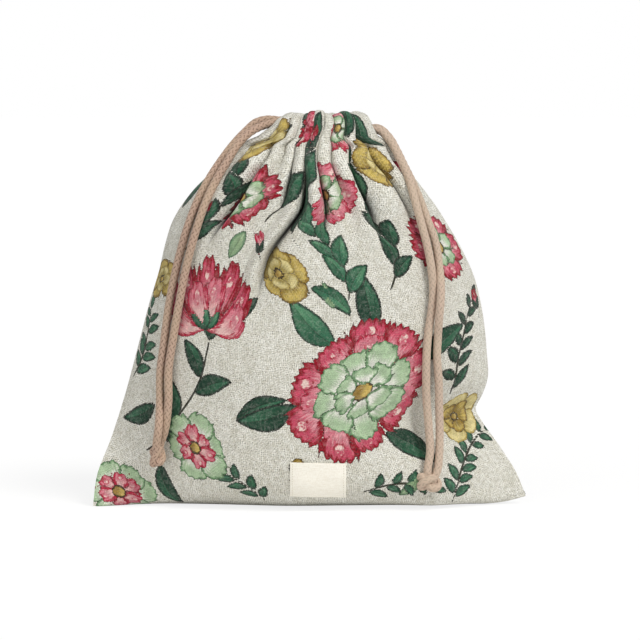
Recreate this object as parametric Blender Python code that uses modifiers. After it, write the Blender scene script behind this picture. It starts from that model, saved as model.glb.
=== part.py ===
"""Drawstring lunch bag, drawn shut: two gathered cloth panels, two drawcords and a sewn label.

Metres, +Z up. The bag stands on Z = 0 over the origin and its front faces -Y.

Each panel is one piece of cloth. From the bottom seam it lies flat under the bag, turns up at the
bottom edge, bulges and is gathered into pleats at the neck. There it turns over into a casing, a
tunnel with open ends at the side seams, and comes back down inside to the casing's stitch line.
"""
import math

import bpy
import numpy as np

# Cloth
CLOTH = 0.0010              # thickness of a panel
PANEL_RUN = 0.290           # cloth from the bottom seam to the top of the neck
SEAM_GAP = 0.0004           # between the two panels along their seams
FLOOR_DEPTH = 0.035         # how far each panel lies flat under the bag at its middle
EDGE_ROUND = 0.009          # roundness of the bottom edge
EAR_RUN = 0.004             # cloth between the floor's rows at the tips of the ears

# Side outlines, half depth and pointedness of the bag by height, as (height, value)
LEFT_EDGE = ((0.000, -0.1355), (0.020, -0.1328), (0.040, -0.1250), (0.068, -0.1157),
             (0.098, -0.1075), (0.128, -0.0995), (0.146, -0.0940), (0.163, -0.0900),
             (0.178, -0.0850), (0.190, -0.0780), (0.200, -0.0703), (0.208, -0.0606),
             (0.214, -0.0536), (0.220, -0.0462), (0.226, -0.0388), (0.231, -0.0315),
             (0.2375, -0.0235), (0.260, -0.0235))
RIGHT_EDGE = ((0.000, 0.1350), (0.020, 0.1270), (0.040, 0.1150), (0.051, 0.1075),
              (0.060, 0.1030), (0.068, 0.1065), (0.078, 0.1100), (0.096, 0.1095),
              (0.123, 0.1063), (0.143, 0.1013), (0.160, 0.0935), (0.178, 0.0830),
              (0.190, 0.0735), (0.200, 0.0652), (0.208, 0.0586), (0.214, 0.0538),
              (0.220, 0.0494), (0.226, 0.0456), (0.231, 0.0425), (0.2375, 0.0385),
              (0.260, 0.0385))
HALF_DEPTH = ((0.000, FLOOR_DEPTH), (0.020, 0.045), (0.060, 0.053), (0.100, 0.056), (0.140, 0.055),
              (0.160, 0.053), (0.178, 0.050), (0.190, 0.047), (0.200, 0.0435), (0.208, 0.040),
              (0.214, 0.037), (0.220, 0.033), (0.226, 0.0275), (0.231, 0.0240), (0.2375, 0.0215),
              (0.260, 0.0215))
POINTEDNESS = ((0.000, 2.5), (0.030, 2.2), (0.060, 1.8), (0.100, 1.4), (0.140, 1.15), (0.180, 1.0),
               (0.260, 1.0))

# Rows of the cloth: shares of the floor run, then heights up the outside
FLOOR_SHARES = (0.0, 0.5, 0.93)
OUTSIDE_HEIGHTS = (0.006, 0.015, 0.028, 0.044, 0.060, 0.078, 0.098, 0.118, 0.137, 0.154, 0.169,
                   0.182, 0.193, 0.202, 0.209, 0.215, 0.220, 0.2245, 0.2275, 0.2315)

# Neck and casing. The drawcords run round a ring in it, and its rows are set off from that ring.
CORD = 0.005                # diameter of a drawcord
RING_X = 0.0075             # middle of the ring
RING_HALF_WIDTH = 0.0235
RING_HALF_DEPTH = 0.014
UPPER_RING_HEIGHT = 0.2390  # the left drawcord's height in the casing, the right one's is lower
STITCH_HEIGHT = 0.2245
CASING_OUTSIDE = 0.0075     # ring to the casing's outer wall
CASING_INSIDE = 0.0064      # ring to its inner wall
CASING_TOP = 0.0050         # middle of the upper drawcord to the top of the cloth
STITCH_INSET = 0.0035       # the turned-in hem stops this far inside the outer wall
END_OPENING = math.radians(26.0)    # half of the opening between the casings' ends
OPENING_START = STITCH_HEIGHT
OPENING_FULL = 0.2310

# Casing rows from the outer wall over the top and down inside, as
# (height, distance from the ring, pleat depth as a share of the neck's)
CREST = UPPER_RING_HEIGHT + CASING_TOP
CASING_ROWS = ((0.2375, CASING_OUTSIDE, 1.0),
               (CREST - 0.0022, 0.66 * CASING_OUTSIDE, 0.7),
               (CREST, 0.0, 0.45),
               (CREST - 0.0022, -0.70 * CASING_INSIDE, 0.45),
               (0.2375, -CASING_INSIDE, 0.45),
               (0.2300, -CASING_INSIDE, 0.45),
               (0.2268, -0.35 * CASING_INSIDE, 0.45))

# Pleats. Each valley line has its angle round the bag in degrees (0 at the right seam, 180 at the
# left one) at the heights below, the height where it has faded out, and its depth.
VALLEY_HEIGHTS = (0.000, 0.070, 0.120, 0.160, 0.190, 0.207, 0.222, 0.240)
FRONT_VALLEYS = (
    ((16.4, 24.0, 30.0, 26.0, 24.0, 22.0, 20.0, 20.0), 0.180, 0.7),
    ((32.7, 40.0, 46.0, 42.0, 38.0, 38.0, 44.0, 40.0), 0.172, 0.8),
    ((49.1, 56.0, 60.0, 60.0, 62.0, 63.0, 63.0, 56.0), 0.160, 1.0),
    ((65.5, 70.0, 74.0, 72.0, 72.0, 74.0, 77.0, 72.0), 0.186, 0.7),
    ((81.8, 86.0, 89.0, 86.0, 82.0, 84.0, 88.0, 88.0), 0.164, 1.0),
    ((98.2, 104.0, 111.0, 107.0, 92.5, 91.5, 95.5, 102.0), 0.115, 1.3),
    ((114.5, 116.0, 121.0, 115.0, 102.0, 100.5, 103.0, 114.0), 0.178, 0.9),
    ((130.9, 130.0, 131.0, 125.0, 113.0, 111.0, 112.0, 126.0), 0.204, 0.6),
    ((147.3, 143.0, 142.0, 137.0, 125.0, 123.0, 122.0, 138.0), 0.158, 1.2),
    ((163.6, 160.0, 157.0, 154.0, 151.0, 150.0, 150.0, 160.0), 0.186, 0.9))
BACK_VALLEYS = (
    ((16.4, 20.0, 24.0, 22.0, 20.0, 19.0, 18.0, 18.0), 0.182, 0.9),
    ((32.7, 34.0, 37.0, 35.0, 33.0, 33.0, 34.0, 35.0), 0.166, 1.0),
    ((49.1, 50.0, 51.0, 49.0, 48.0, 49.0, 51.0, 51.0), 0.186, 0.8),
    ((65.5, 64.0, 62.0, 63.0, 65.0, 66.0, 67.0, 67.0), 0.140, 1.2),
    ((81.8, 80.0, 78.0, 79.0, 81.0, 82.0, 82.0, 82.0), 0.172, 0.9),
    ((98.2, 98.0, 97.0, 97.0, 97.0, 97.0, 97.0, 97.0), 0.158, 1.0),
    ((114.5, 116.0, 118.0, 116.0, 113.0, 112.0, 111.0, 111.0), 0.128, 1.2),
    ((130.9, 132.0, 134.0, 132.0, 128.0, 127.0, 126.0, 126.0), 0.180, 0.8),
    ((147.3, 147.0, 147.0, 146.0, 144.0, 143.0, 142.0, 142.0), 0.170, 1.0),
    ((163.6, 163.0, 161.0, 161.0, 161.0, 160.0, 160.0, 160.0), 0.188, 0.9))
PLEAT_DEPTH = ((0.000, 0.0020), (0.120, 0.0020), (0.150, 0.0032), (0.170, 0.0042), (0.190, 0.0050),
               (0.207, 0.0052), (0.222, 0.0040), (0.231, 0.0033), (0.260, 0.0033))
FADE_RUN = 0.035            # height over which a pleat fades out
COLUMNS_PER_PLEAT = 4
VALLEY_SHARPNESS = 0.85     # below 1 the valleys are creases and the ridges are round

# Soft dents and swells, as (x, height, half width, half height, depth inwards)
FRONT_DENTS = ((-0.088, 0.150, 0.012, 0.050, 0.0030), (-0.070, 0.135, 0.014, 0.045, -0.0015),
               (-0.100, 0.035, 0.022, 0.022, 0.0035), (0.092, 0.058, 0.026, 0.014, 0.0040),
               (0.062, 0.020, 0.024, 0.018, -0.0025), (0.066, 0.075, 0.012, 0.045, 0.0022),
               (-0.030, 0.075, 0.040, 0.040, -0.0022), (0.020, 0.110, 0.035, 0.030, 0.0025),
               (0.030, 0.040, 0.035, 0.020, 0.0020))
BACK_DENTS = ((-0.050, 0.120, 0.022, 0.045, 0.0035), (0.045, 0.090, 0.028, 0.040, 0.0030),
              (0.092, 0.058, 0.026, 0.014, 0.0040), (-0.060, 0.045, 0.030, 0.020, 0.0030),
              (0.000, 0.060, 0.040, 0.030, -0.0025))

# The front bottom edge and the right ear lie a little off the ground, as (x, height)
FRONT_LIFT = ((-0.140, 0.0), (-0.100, 0.0), (-0.082, 0.0012), (-0.050, 0.0028), (-0.015, 0.0018),
              (0.018, 0.0028), (0.045, 0.0018), (0.075, 0.0), (0.140, 0.0))
LIFT_RUN = 0.014
EAR_LIFT = ((-0.140, 0.0), (0.000, 0.0), (0.098, 0.0), (0.108, 0.0), (0.122, 0.0014), (0.135, 0.0045),
            (0.140, 0.0050))

# Label, by the places of its edges on the front
LABEL_LEFT, LABEL_RIGHT = -0.0125, 0.0220
LABEL_BOTTOM, LABEL_TOP = 0.0070, 0.0290
LABEL_THICKNESS = 0.0006
LABEL_TILT = 0.0012         # its right end lies this much lower
LABEL_COLUMNS, LABEL_ROWS = 8, 5
SEAT_GAP = 0.0003           # between pieces that touch

# Drawcords. Each route climbs from the knot, goes once round the ring and comes back down.
LEFT_ROUTE = (
    (-0.0929, -0.0268, 0.0380), (-0.0900, -0.0300, 0.0480), (-0.0876, -0.0322, 0.0655),
    (-0.0872, -0.0324, 0.0880), (-0.0845, -0.0332, 0.1060), (-0.0806, -0.0346, 0.1280),
    (-0.0760, -0.0358, 0.1510), (-0.0715, -0.0375, 0.1685), (-0.0654, -0.0368, 0.1871),
    (-0.0589, -0.0300, 0.2027), (-0.0522, -0.0246, 0.2150), (-0.0446, -0.0188, 0.2256),
    (-0.0366, -0.0118, 0.2332), (-0.0275, -0.0050, 0.2372), (-0.0195, -0.0043, 0.2388),
    (-0.0129, -0.0070, 0.2390), (-0.0043, -0.0121, 0.2390), (0.0075, -0.0140, 0.2390),
    (0.0193, -0.0121, 0.2390), (0.0279, -0.0070, 0.2390), (0.0310, 0.0000, 0.2390),
    (0.0279, 0.0070, 0.2390), (0.0193, 0.0121, 0.2390), (0.0075, 0.0140, 0.2390),
    (-0.0043, 0.0121, 0.2390), (-0.0129, 0.0070, 0.2390),
    (-0.0195, 0.0042, 0.2396), (-0.0272, 0.0028, 0.2402), (-0.0335, 0.0012, 0.2386),
    (-0.0405, -0.0024, 0.2336), (-0.0482, -0.0075, 0.2262), (-0.0560, -0.0138, 0.2168),
    (-0.0632, -0.0212, 0.2060), (-0.0690, -0.0268, 0.1950), (-0.0745, -0.0318, 0.1777),
    (-0.0801, -0.0306, 0.1590), (-0.0838, -0.0298, 0.1434), (-0.0869, -0.0292, 0.1278),
    (-0.0903, -0.0294, 0.1029), (-0.0926, -0.0288, 0.0850), (-0.0928, -0.0300, 0.0655),
    (-0.0938, -0.0340, 0.0480), (-0.0950, -0.0318, 0.0382))
RIGHT_ROUTE = (
    (0.0722, -0.0362, 0.0220), (0.0740, -0.0350, 0.0360), (0.0735, -0.0345, 0.0510),
    (0.0724, -0.0362, 0.0680), (0.0728, -0.0394, 0.0850), (0.0738, -0.0408, 0.1000),
    (0.0747, -0.0410, 0.1120), (0.0766, -0.0404, 0.1260), (0.0767, -0.0398, 0.1372),
    (0.0742, -0.0396, 0.1497), (0.0713, -0.0374, 0.1653), (0.0671, -0.0347, 0.1808),
    (0.0628, -0.0308, 0.1964), (0.0602, -0.0255, 0.2055), (0.0552, -0.0175, 0.2165),
    (0.0490, -0.0098, 0.2276), (0.0426, -0.0052, 0.2336), (0.0350, -0.0050, 0.2340),
    (0.0279, -0.0070, 0.2334), (0.0193, -0.0121, 0.2334), (0.0075, -0.0140, 0.2334),
    (-0.0043, -0.0121, 0.2334), (-0.0129, -0.0070, 0.2334), (-0.0160, 0.0000, 0.2334),
    (-0.0129, 0.0070, 0.2334), (-0.0043, 0.0121, 0.2334), (0.0075, 0.0140, 0.2334),
    (0.0193, 0.0121, 0.2334), (0.0279, 0.0070, 0.2334),
    (0.0350, 0.0050, 0.2344), (0.0426, 0.0022, 0.2346), (0.0494, -0.0014, 0.2298),
    (0.0550, -0.0064, 0.2210), (0.0596, -0.0126, 0.2124), (0.0638, -0.0190, 0.2048),
    (0.0679, -0.0246, 0.1955), (0.0722, -0.0318, 0.1808), (0.0768, -0.0338, 0.1653),
    (0.0798, -0.0370, 0.1497), (0.0814, -0.0425, 0.1372), (0.0810, -0.0442, 0.1278),
    (0.0805, -0.0435, 0.1200), (0.0801, -0.0400, 0.1090), (0.0794, -0.0386, 0.0967),
    (0.0788, -0.0368, 0.0811), (0.0792, -0.0342, 0.0655), (0.0796, -0.0326, 0.0480),
    (0.0794, -0.0334, 0.0360), (0.0776, -0.0357, 0.0216))
CORD_STEP = 0.015           # longest step between the points of a drawcord's tube

# Knots, by their middles and half sizes; each is two wraps of cord, one over the other
LEFT_KNOT = (-0.0945, -0.0274, 0.0312)
LEFT_KNOT_HALF = (0.0055, 0.0052, 0.0064)
RIGHT_KNOT = (0.0730, -0.0362, 0.0158)
RIGHT_KNOT_HALF = (0.0088, 0.0055, 0.0056)
WRAP_SHARE = 0.62           # half height of a wrap, as a share of the knot's
WRAP_TILT = math.radians(9.0)


def smooth(knots, where):
    """Values at `where` on a smooth curve through (place, value) knots."""
    place, value = np.array(knots).T
    slope = np.gradient(value, place)
    where = np.clip(where, place[0], place[-1])
    i = np.clip(np.searchsorted(place, where) - 1, 0, len(place) - 2)
    step = place[i + 1] - place[i]
    u = (where - place[i]) / step
    return ((1 + 2 * u) * (1 - u) ** 2 * value[i] + u * (1 - u) ** 2 * step * slope[i]
            + u * u * (3 - 2 * u) * value[i + 1] + u * u * (u - 1) * step * slope[i + 1])


def ramp(low, high, value):
    """0 below `low`, 1 above `high`, with a soft step between."""
    u = np.clip((value - low) / (high - low), 0.0, 1.0)
    return u * u * (3 - 2 * u)


def valley_angles(valleys, height):
    """Angles of the seams and valley lines at one height, in radians from right to left."""
    inner = [smooth(tuple(zip(VALLEY_HEIGHTS, angles)), height) for angles, _, _ in valleys]
    return np.radians(np.concatenate(([0.0], np.array(inner, float), [180.0])))


def pleat_profile(valleys, phase, height):
    """Height of the pleats' wave, from -1 in a valley to 1 on a ridge, faded at this height."""
    depth = [share * ramp(end, end + FADE_RUN, height) for _, end, share in valleys]
    depth = [0.0, *depth, 0.0]
    here = np.interp(phase, np.arange(len(depth)), depth)
    wave = 2.0 * np.abs(np.sin(math.pi * phase)) ** VALLEY_SHARPNESS - 1.0
    return here * wave


def soft_step(run, roundness):
    """0 for a run well below zero and the run itself well above it, rounded between."""
    return (run + np.hypot(run, roundness)) / 2


def outside_row(side, valleys, phase, height=0.0, floor_share=None):
    """Points of one row on the outside of a panel, at a height or at a share of the floor run."""
    lines = valley_angles(valleys, height)
    angle = np.interp(phase, np.arange(len(lines)), lines)
    opening = END_OPENING * ramp(OPENING_START, OPENING_FULL, height)
    angle = opening + angle * (1 - 2 * opening / math.pi)
    floor_run = FLOOR_DEPTH * np.sin(angle) ** POINTEDNESS[0][1]
    roundness = np.minimum(EDGE_ROUND, 0.6 * floor_run + 0.001)
    rise_rate = (CREST - CLOTH / 2) / (PANEL_RUN - floor_run)
    if floor_share is None:
        run = floor_run + (height - CLOTH / 2) / rise_rate
    else:
        run = floor_share * np.hypot(floor_run, EAR_RUN)
    past_edge = run - floor_run
    z = CLOTH / 2 + rise_rate * (soft_step(past_edge, roundness) - soft_step(-floor_run, roundness))
    turned_up = 1 - soft_step(-past_edge, roundness) / soft_step(floor_run, roundness)
    left, right = smooth(LEFT_EDGE, z), smooth(RIGHT_EDGE, z)
    half_width, half_depth = (right - left) / 2, smooth(HALF_DEPTH, z)
    pointedness = smooth(POINTEDNESS, z)
    x = (left + right) / 2 + half_width * np.cos(angle)
    depth = half_depth * np.sin(angle) ** pointedness * turned_up
    face_to_face = np.clip((pointedness - 1.3) / 0.7, 0, 1)
    seam = SEAM_GAP / 2 + CLOTH / 2 * face_to_face
    out = smooth(PLEAT_DEPTH, height) * pleat_profile(valleys, phase, height)
    dents = FRONT_DENTS if side < 0 else BACK_DENTS
    for dent_x, dent_z, wide, high, deep in dents:
        near = np.exp(-((x - dent_x) / wide) ** 2 - ((z - dent_z) / high) ** 2)
        out = out - deep * near * np.sin(angle) * ramp(0.0, 0.015, z)
    normal_x, normal_y = np.cos(angle) / half_width, np.sin(angle) / half_depth
    length = np.hypot(normal_x, normal_y)
    x = x + out * normal_x / length
    depth = depth + out * normal_y / length
    if side < 0:
        z = z + np.maximum(smooth(FRONT_LIFT, x), 0) * np.exp(-(past_edge / LIFT_RUN) ** 2)
    z = z + np.maximum(smooth(EAR_LIFT, x), 0)
    return np.stack([x, side * (seam + depth), z], axis=-1)


def casing_row(side, valleys, phase, height, off_ring, pleat_share):
    """Points of one row of the casing, set off from the drawcords' ring."""
    lines = valley_angles(valleys, height)
    angle = END_OPENING + np.interp(phase, np.arange(len(lines)), lines) * (1 - 2 * END_OPENING / math.pi)
    half_width, half_depth = RING_HALF_WIDTH + off_ring, RING_HALF_DEPTH + off_ring
    out = pleat_share * smooth(PLEAT_DEPTH, height) * pleat_profile(valleys, phase, height)
    x = RING_X + (half_width + out) * np.cos(angle)
    depth = (half_depth + out) * np.sin(angle)
    return np.stack([x, side * depth, np.full_like(x, height)], axis=-1)


def panel_points(side, valleys):
    """Rows of points over one whole panel, from the bottom seam to the turned-in hem."""
    columns = COLUMNS_PER_PLEAT * (len(valleys) + 1) + 1
    phase = np.linspace(0, len(valleys) + 1, columns)
    rows = [outside_row(side, valleys, phase, floor_share=share) for share in FLOOR_SHARES]
    rows += [outside_row(side, valleys, phase, height=height) for height in OUTSIDE_HEIGHTS]
    rows += [casing_row(side, valleys, phase, *row) for row in CASING_ROWS]
    hem = outside_row(side, valleys, phase, height=STITCH_HEIGHT)
    middle = np.array([(LEFT_EDGE[0][1] + RIGHT_EDGE[0][1]) / 2, 0.0])
    inward = middle - hem[:, :2]
    inward /= np.linalg.norm(inward, axis=1)[:, None]
    hem[:, :2] += STITCH_INSET * inward
    rows.append(hem)
    return np.array(rows)


def make_material(name, colour, roughness):
    """A Principled material with this colour and roughness."""
    material = bpy.data.materials.new(name)
    material.use_nodes = True
    shader = material.node_tree.nodes["Principled BSDF"]
    shader.inputs["Base Color"].default_value = (*colour, 1.0)
    shader.inputs["Roughness"].default_value = roughness
    return material


def add_sheet(name, rows, thickness, material, collection, flip):
    """A cloth sheet through a grid of points, given its thickness to both sides."""
    height, width = rows.shape[:2]
    corner = np.arange((height - 1) * width).reshape(height - 1, width)[:, :-1].ravel()
    faces = np.stack([corner, corner + 1, corner + width + 1, corner + width], axis=1)
    if flip:
        faces = faces[:, ::-1]
    mesh = bpy.data.meshes.new(name)
    mesh.from_pydata(rows.reshape(-1, 3).tolist(), [], faces.tolist())
    mesh.materials.append(material)
    mesh.shade_smooth()
    sheet = bpy.data.objects.new(name, mesh)
    collection.objects.link(sheet)
    solidify = sheet.modifiers.new("Cloth thickness", "SOLIDIFY")
    solidify.thickness = thickness
    solidify.offset = 0.0
    return sheet


def label_points():
    """Points of the label, lying on the front a little off its cloth."""
    rows = []
    for up in np.linspace(0, 1, LABEL_ROWS + 1):
        across = np.linspace(0, 1, LABEL_COLUMNS + 1)
        x = LABEL_LEFT + (LABEL_RIGHT - LABEL_LEFT) * across
        z = LABEL_BOTTOM + (LABEL_TOP - LABEL_BOTTOM) * up - LABEL_TILT * across
        rows.append(np.stack([x, front_face(x, z), z], axis=-1))
    return np.array(rows)


def front_face(x, z):
    """Y of the label's middle at these places on the front, off the cloth by the seat gap."""
    fine = np.linspace(0, len(FRONT_VALLEYS) + 1, 241)
    heights = np.arange(0.001, LABEL_TOP + 0.006, 0.001)
    rows = [outside_row(-1, FRONT_VALLEYS, fine, height=height) for height in heights]
    depth_at = np.array([np.interp(x, row[::-1, 0], row[::-1, 1]) for row in rows])
    level_at = np.array([np.interp(x, row[::-1, 0], row[::-1, 2]) for row in rows])
    y = [np.interp(level, level_at[:, i], depth_at[:, i]) for i, level in enumerate(z)]
    slope = [np.interp(level, level_at[:, i], np.gradient(depth_at[:, i], level_at[:, i]))
             for i, level in enumerate(z)]
    off = CLOTH / 2 + SEAT_GAP + LABEL_THICKNESS / 2
    return np.array(y) - off * np.hypot(1.0, np.array(slope))


def cord_points(route):
    """Points for a drawcord's tube, read from a smooth curve through its route."""
    route = np.array(route)
    steps = np.linalg.norm(np.diff(route, axis=0), axis=1)
    along = np.concatenate(([0.0], np.cumsum(steps)))
    places = [along[0]]
    for start, step in zip(along, steps):
        parts = math.ceil(step / CORD_STEP)
        places += [start + step * (i + 1) / parts for i in range(parts)]
    return np.stack([smooth(tuple(zip(along, route[:, axis])), np.array(places)) for axis in range(3)],
                    axis=-1)


def add_cord(name, route, material, collection):
    """A drawcord: a round tube along its route with closed ends."""
    points = cord_points(route)
    curve = bpy.data.curves.new(name, "CURVE")
    curve.dimensions = "3D"
    curve.bevel_depth = CORD / 2
    curve.bevel_resolution = 2
    curve.use_fill_caps = True
    curve.materials.append(material)
    spline = curve.splines.new("POLY")
    spline.points.add(len(points) - 1)
    for point, place in zip(spline.points, points):
        point.co = (*place, 1.0)
    collection.objects.link(bpy.data.objects.new(name, curve))


def add_wrap(name, middle, half, tilt):
    """One wrap of cord in a knot: a flat ball, tilted about Y."""
    bpy.ops.mesh.primitive_uv_sphere_add(segments=18, ring_count=10, location=middle,
                                         rotation=(0.0, tilt, 0.0))
    wrap = bpy.context.active_object
    wrap.name = wrap.data.name = name
    wrap.scale = half
    bpy.ops.object.transform_apply(location=False, rotation=True, scale=True)
    for owner in list(wrap.users_collection):
        owner.objects.unlink(wrap)
    return wrap


def add_knot(name, middle, half, material, collection, cutters):
    """A knot: two wraps of cord across each other, joined into one solid."""
    x, y, z = middle
    wrap_half = (half[0], half[1], half[2] * WRAP_SHARE)
    lift = half[2] - wrap_half[2]
    knot = add_wrap(name, (x, y, z + lift), wrap_half, WRAP_TILT)
    lower = add_wrap(name + "_lower_wrap", (x, y, z - lift), wrap_half, -WRAP_TILT)
    lower.hide_render = True
    lower.display_type = "WIRE"
    cutters.objects.link(lower)
    join = knot.modifiers.new("Lower wrap", "BOOLEAN")
    join.operation = "UNION"
    join.object = lower
    knot.data.materials.append(material)
    knot.data.shade_smooth()
    collection.objects.link(knot)


def build():
    """The whole bag."""
    for existing in list(bpy.data.objects):
        bpy.data.objects.remove(existing, do_unlink=True)
    collection = bpy.data.collections.new("lunch_bag")
    bpy.context.scene.collection.children.link(collection)
    cutters = bpy.data.collections.new("cutters")
    bpy.context.scene.collection.children.link(cutters)
    linen = make_material("Printed linen", (0.56, 0.52, 0.43), 0.9)
    cotton = make_material("Braided cotton", (0.58, 0.40, 0.31), 0.85)
    tape = make_material("Cotton tape", (0.86, 0.82, 0.74), 0.85)
    add_sheet("front_panel", panel_points(-1, FRONT_VALLEYS), CLOTH, linen, collection, flip=True)
    add_sheet("back_panel", panel_points(1, BACK_VALLEYS), CLOTH, linen, collection, flip=False)
    add_sheet("label", label_points(), LABEL_THICKNESS, tape, collection, flip=False)
    add_cord("left_drawcord", LEFT_ROUTE, cotton, collection)
    add_cord("right_drawcord", RIGHT_ROUTE, cotton, collection)
    add_knot("left_knot", LEFT_KNOT, LEFT_KNOT_HALF, cotton, collection, cutters)
    add_knot("right_knot", RIGHT_KNOT, RIGHT_KNOT_HALF, cotton, collection, cutters)


build()
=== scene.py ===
"""Looks of a drawstring lunch bag of printed linen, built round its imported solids.

Metres, +Z up. The bag stands on Z = 0 over the origin and its front faces -Y. Every soft piece is a grid
of points worked out with numpy: two gathered cloth panels, two braided drawcords with their knots, a
sewn label, and the threads of the casing and of the label.
"""
from __future__ import annotations

import logging
import math
from dataclasses import dataclass, field
from enum import Enum

import bpy
import numpy as np
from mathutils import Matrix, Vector

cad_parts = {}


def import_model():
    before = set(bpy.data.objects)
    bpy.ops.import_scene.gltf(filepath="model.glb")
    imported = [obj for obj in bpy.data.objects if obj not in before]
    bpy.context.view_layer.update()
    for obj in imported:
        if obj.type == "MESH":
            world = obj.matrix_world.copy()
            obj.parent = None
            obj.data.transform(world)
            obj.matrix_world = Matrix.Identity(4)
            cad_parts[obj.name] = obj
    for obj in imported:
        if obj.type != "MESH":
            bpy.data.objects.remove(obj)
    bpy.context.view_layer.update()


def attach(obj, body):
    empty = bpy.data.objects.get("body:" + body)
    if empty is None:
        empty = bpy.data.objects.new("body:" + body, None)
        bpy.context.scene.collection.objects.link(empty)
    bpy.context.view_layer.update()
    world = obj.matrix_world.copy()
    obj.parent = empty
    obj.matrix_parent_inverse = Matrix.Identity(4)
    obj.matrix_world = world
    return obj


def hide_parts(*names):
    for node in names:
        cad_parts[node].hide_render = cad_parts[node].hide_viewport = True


LOG = logging.getLogger("lunch_bag")
MM = 0.001
PIXEL_MM = 0.6236           # of the bag on one pixel of the picture
BODY = "root"
PRINT_LAYERS = 9            # of ink on the cloth

Array = np.ndarray


def smooth(knots: tuple, where: Array) -> Array:
    """Values on a smooth curve through (place, value) knots: cubic pieces with central slopes.

    Args:
        knots: the (place, value) pairs, with rising places.
        where: places to read the curve at, held within the knots.

    Returns:
        The curve's values, in the shape of `where`.
    """
    place, value = np.array(knots, float).T
    slope = np.gradient(value, place)
    where = np.clip(where, place[0], place[-1])
    i = np.clip(np.searchsorted(place, where) - 1, 0, len(place) - 2)
    step = place[i + 1] - place[i]
    u = (where - place[i]) / step
    return ((1 + 2 * u) * (1 - u) ** 2 * value[i] + u * (1 - u) ** 2 * step * slope[i]
            + u * u * (3 - 2 * u) * value[i + 1] + u * u * (u - 1) * step * slope[i + 1])


def ramp(low: float | Array, high: float | Array, value: Array) -> Array:
    """0 below `low`, 1 above `high`, with the soft step 3u^2 - 2u^3 between."""
    u = np.clip((value - low) / (high - low), 0.0, 1.0)
    return u * u * (3 - 2 * u)


def soft_step(run: Array, roundness: Array | float) -> Array:
    """0 for a run well below zero and the run itself well above it: half of run + hypot(run, roundness)."""
    return (run + np.hypot(run, roundness)) / 2


def crumple(across: Array, up: Array, cell: float, seed: int) -> Array:
    """Smooth random heights: values drawn at the corners of square cells, joined by soft steps.

    Args:
        across: places along the cloth's width.
        up: places along its length.
        cell: side of a cell, in the same unit.
        seed: picks the draw.

    Returns:
        Heights from -1 to 1.
    """
    lattice = np.random.default_rng(seed).uniform(-1, 1, (97, 97))
    a, b = across / cell + 31.0, up / cell + 17.0
    i, j = np.floor(a).astype(int), np.floor(b).astype(int)
    u, v = ramp(0.0, 1.0, a - i), ramp(0.0, 1.0, b - j)
    low = lattice[i % 97, j % 97] * (1 - u) + lattice[(i + 1) % 97, j % 97] * u
    high = lattice[i % 97, (j + 1) % 97] * (1 - u) + lattice[(i + 1) % 97, (j + 1) % 97] * u
    return low * (1 - v) + high * v


def srgb(red: float, green: float, blue: float) -> tuple[float, float, float]:
    """Linear colour of an sRGB colour given as 0 to 255."""
    parts = np.array([red, green, blue]) / 255.0
    linear = np.where(parts <= 0.04045, parts / 12.92, ((parts + 0.055) / 1.055) ** 2.4)
    return tuple(float(p) for p in linear)


def grid_faces(rows: int, columns: int, closed: bool = False) -> Array:
    """Quads over a grid of points, as (lower left, lower right, upper right, upper left).

    Args:
        rows: rows of points.
        columns: points in a row.
        closed: whether each row closes on itself, as round a tube.

    Returns:
        Point numbers, four to a face.
    """
    start = np.arange(rows - 1)[:, None] * columns
    here = np.arange(columns if closed else columns - 1)[None, :]
    after = (here + 1) % columns
    return np.stack([start + here, start + after, start + columns + after, start + columns + here],
                    axis=-1).reshape(-1, 4)


def new_piece(name: str, points: Array, faces: Array | list,
              material: bpy.types.Material) -> bpy.types.Object:
    """A smooth-shaded mesh piece with its place in its points.

    Args:
        name: the piece's name.
        points: (n, 3) places in metres.
        faces: point numbers of each face.
        material: its finish.

    Returns:
        The new object, in the scene.
    """
    mesh = bpy.data.meshes.new(name)
    mesh.from_pydata(np.asarray(points, float).reshape(-1, 3).tolist(), [],
                     faces.tolist() if isinstance(faces, np.ndarray) else faces)
    mesh.materials.append(material)
    mesh.shade_smooth()
    mesh.validate()
    piece = bpy.data.objects.new(name, mesh)
    bpy.context.scene.collection.objects.link(piece)
    return piece


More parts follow.
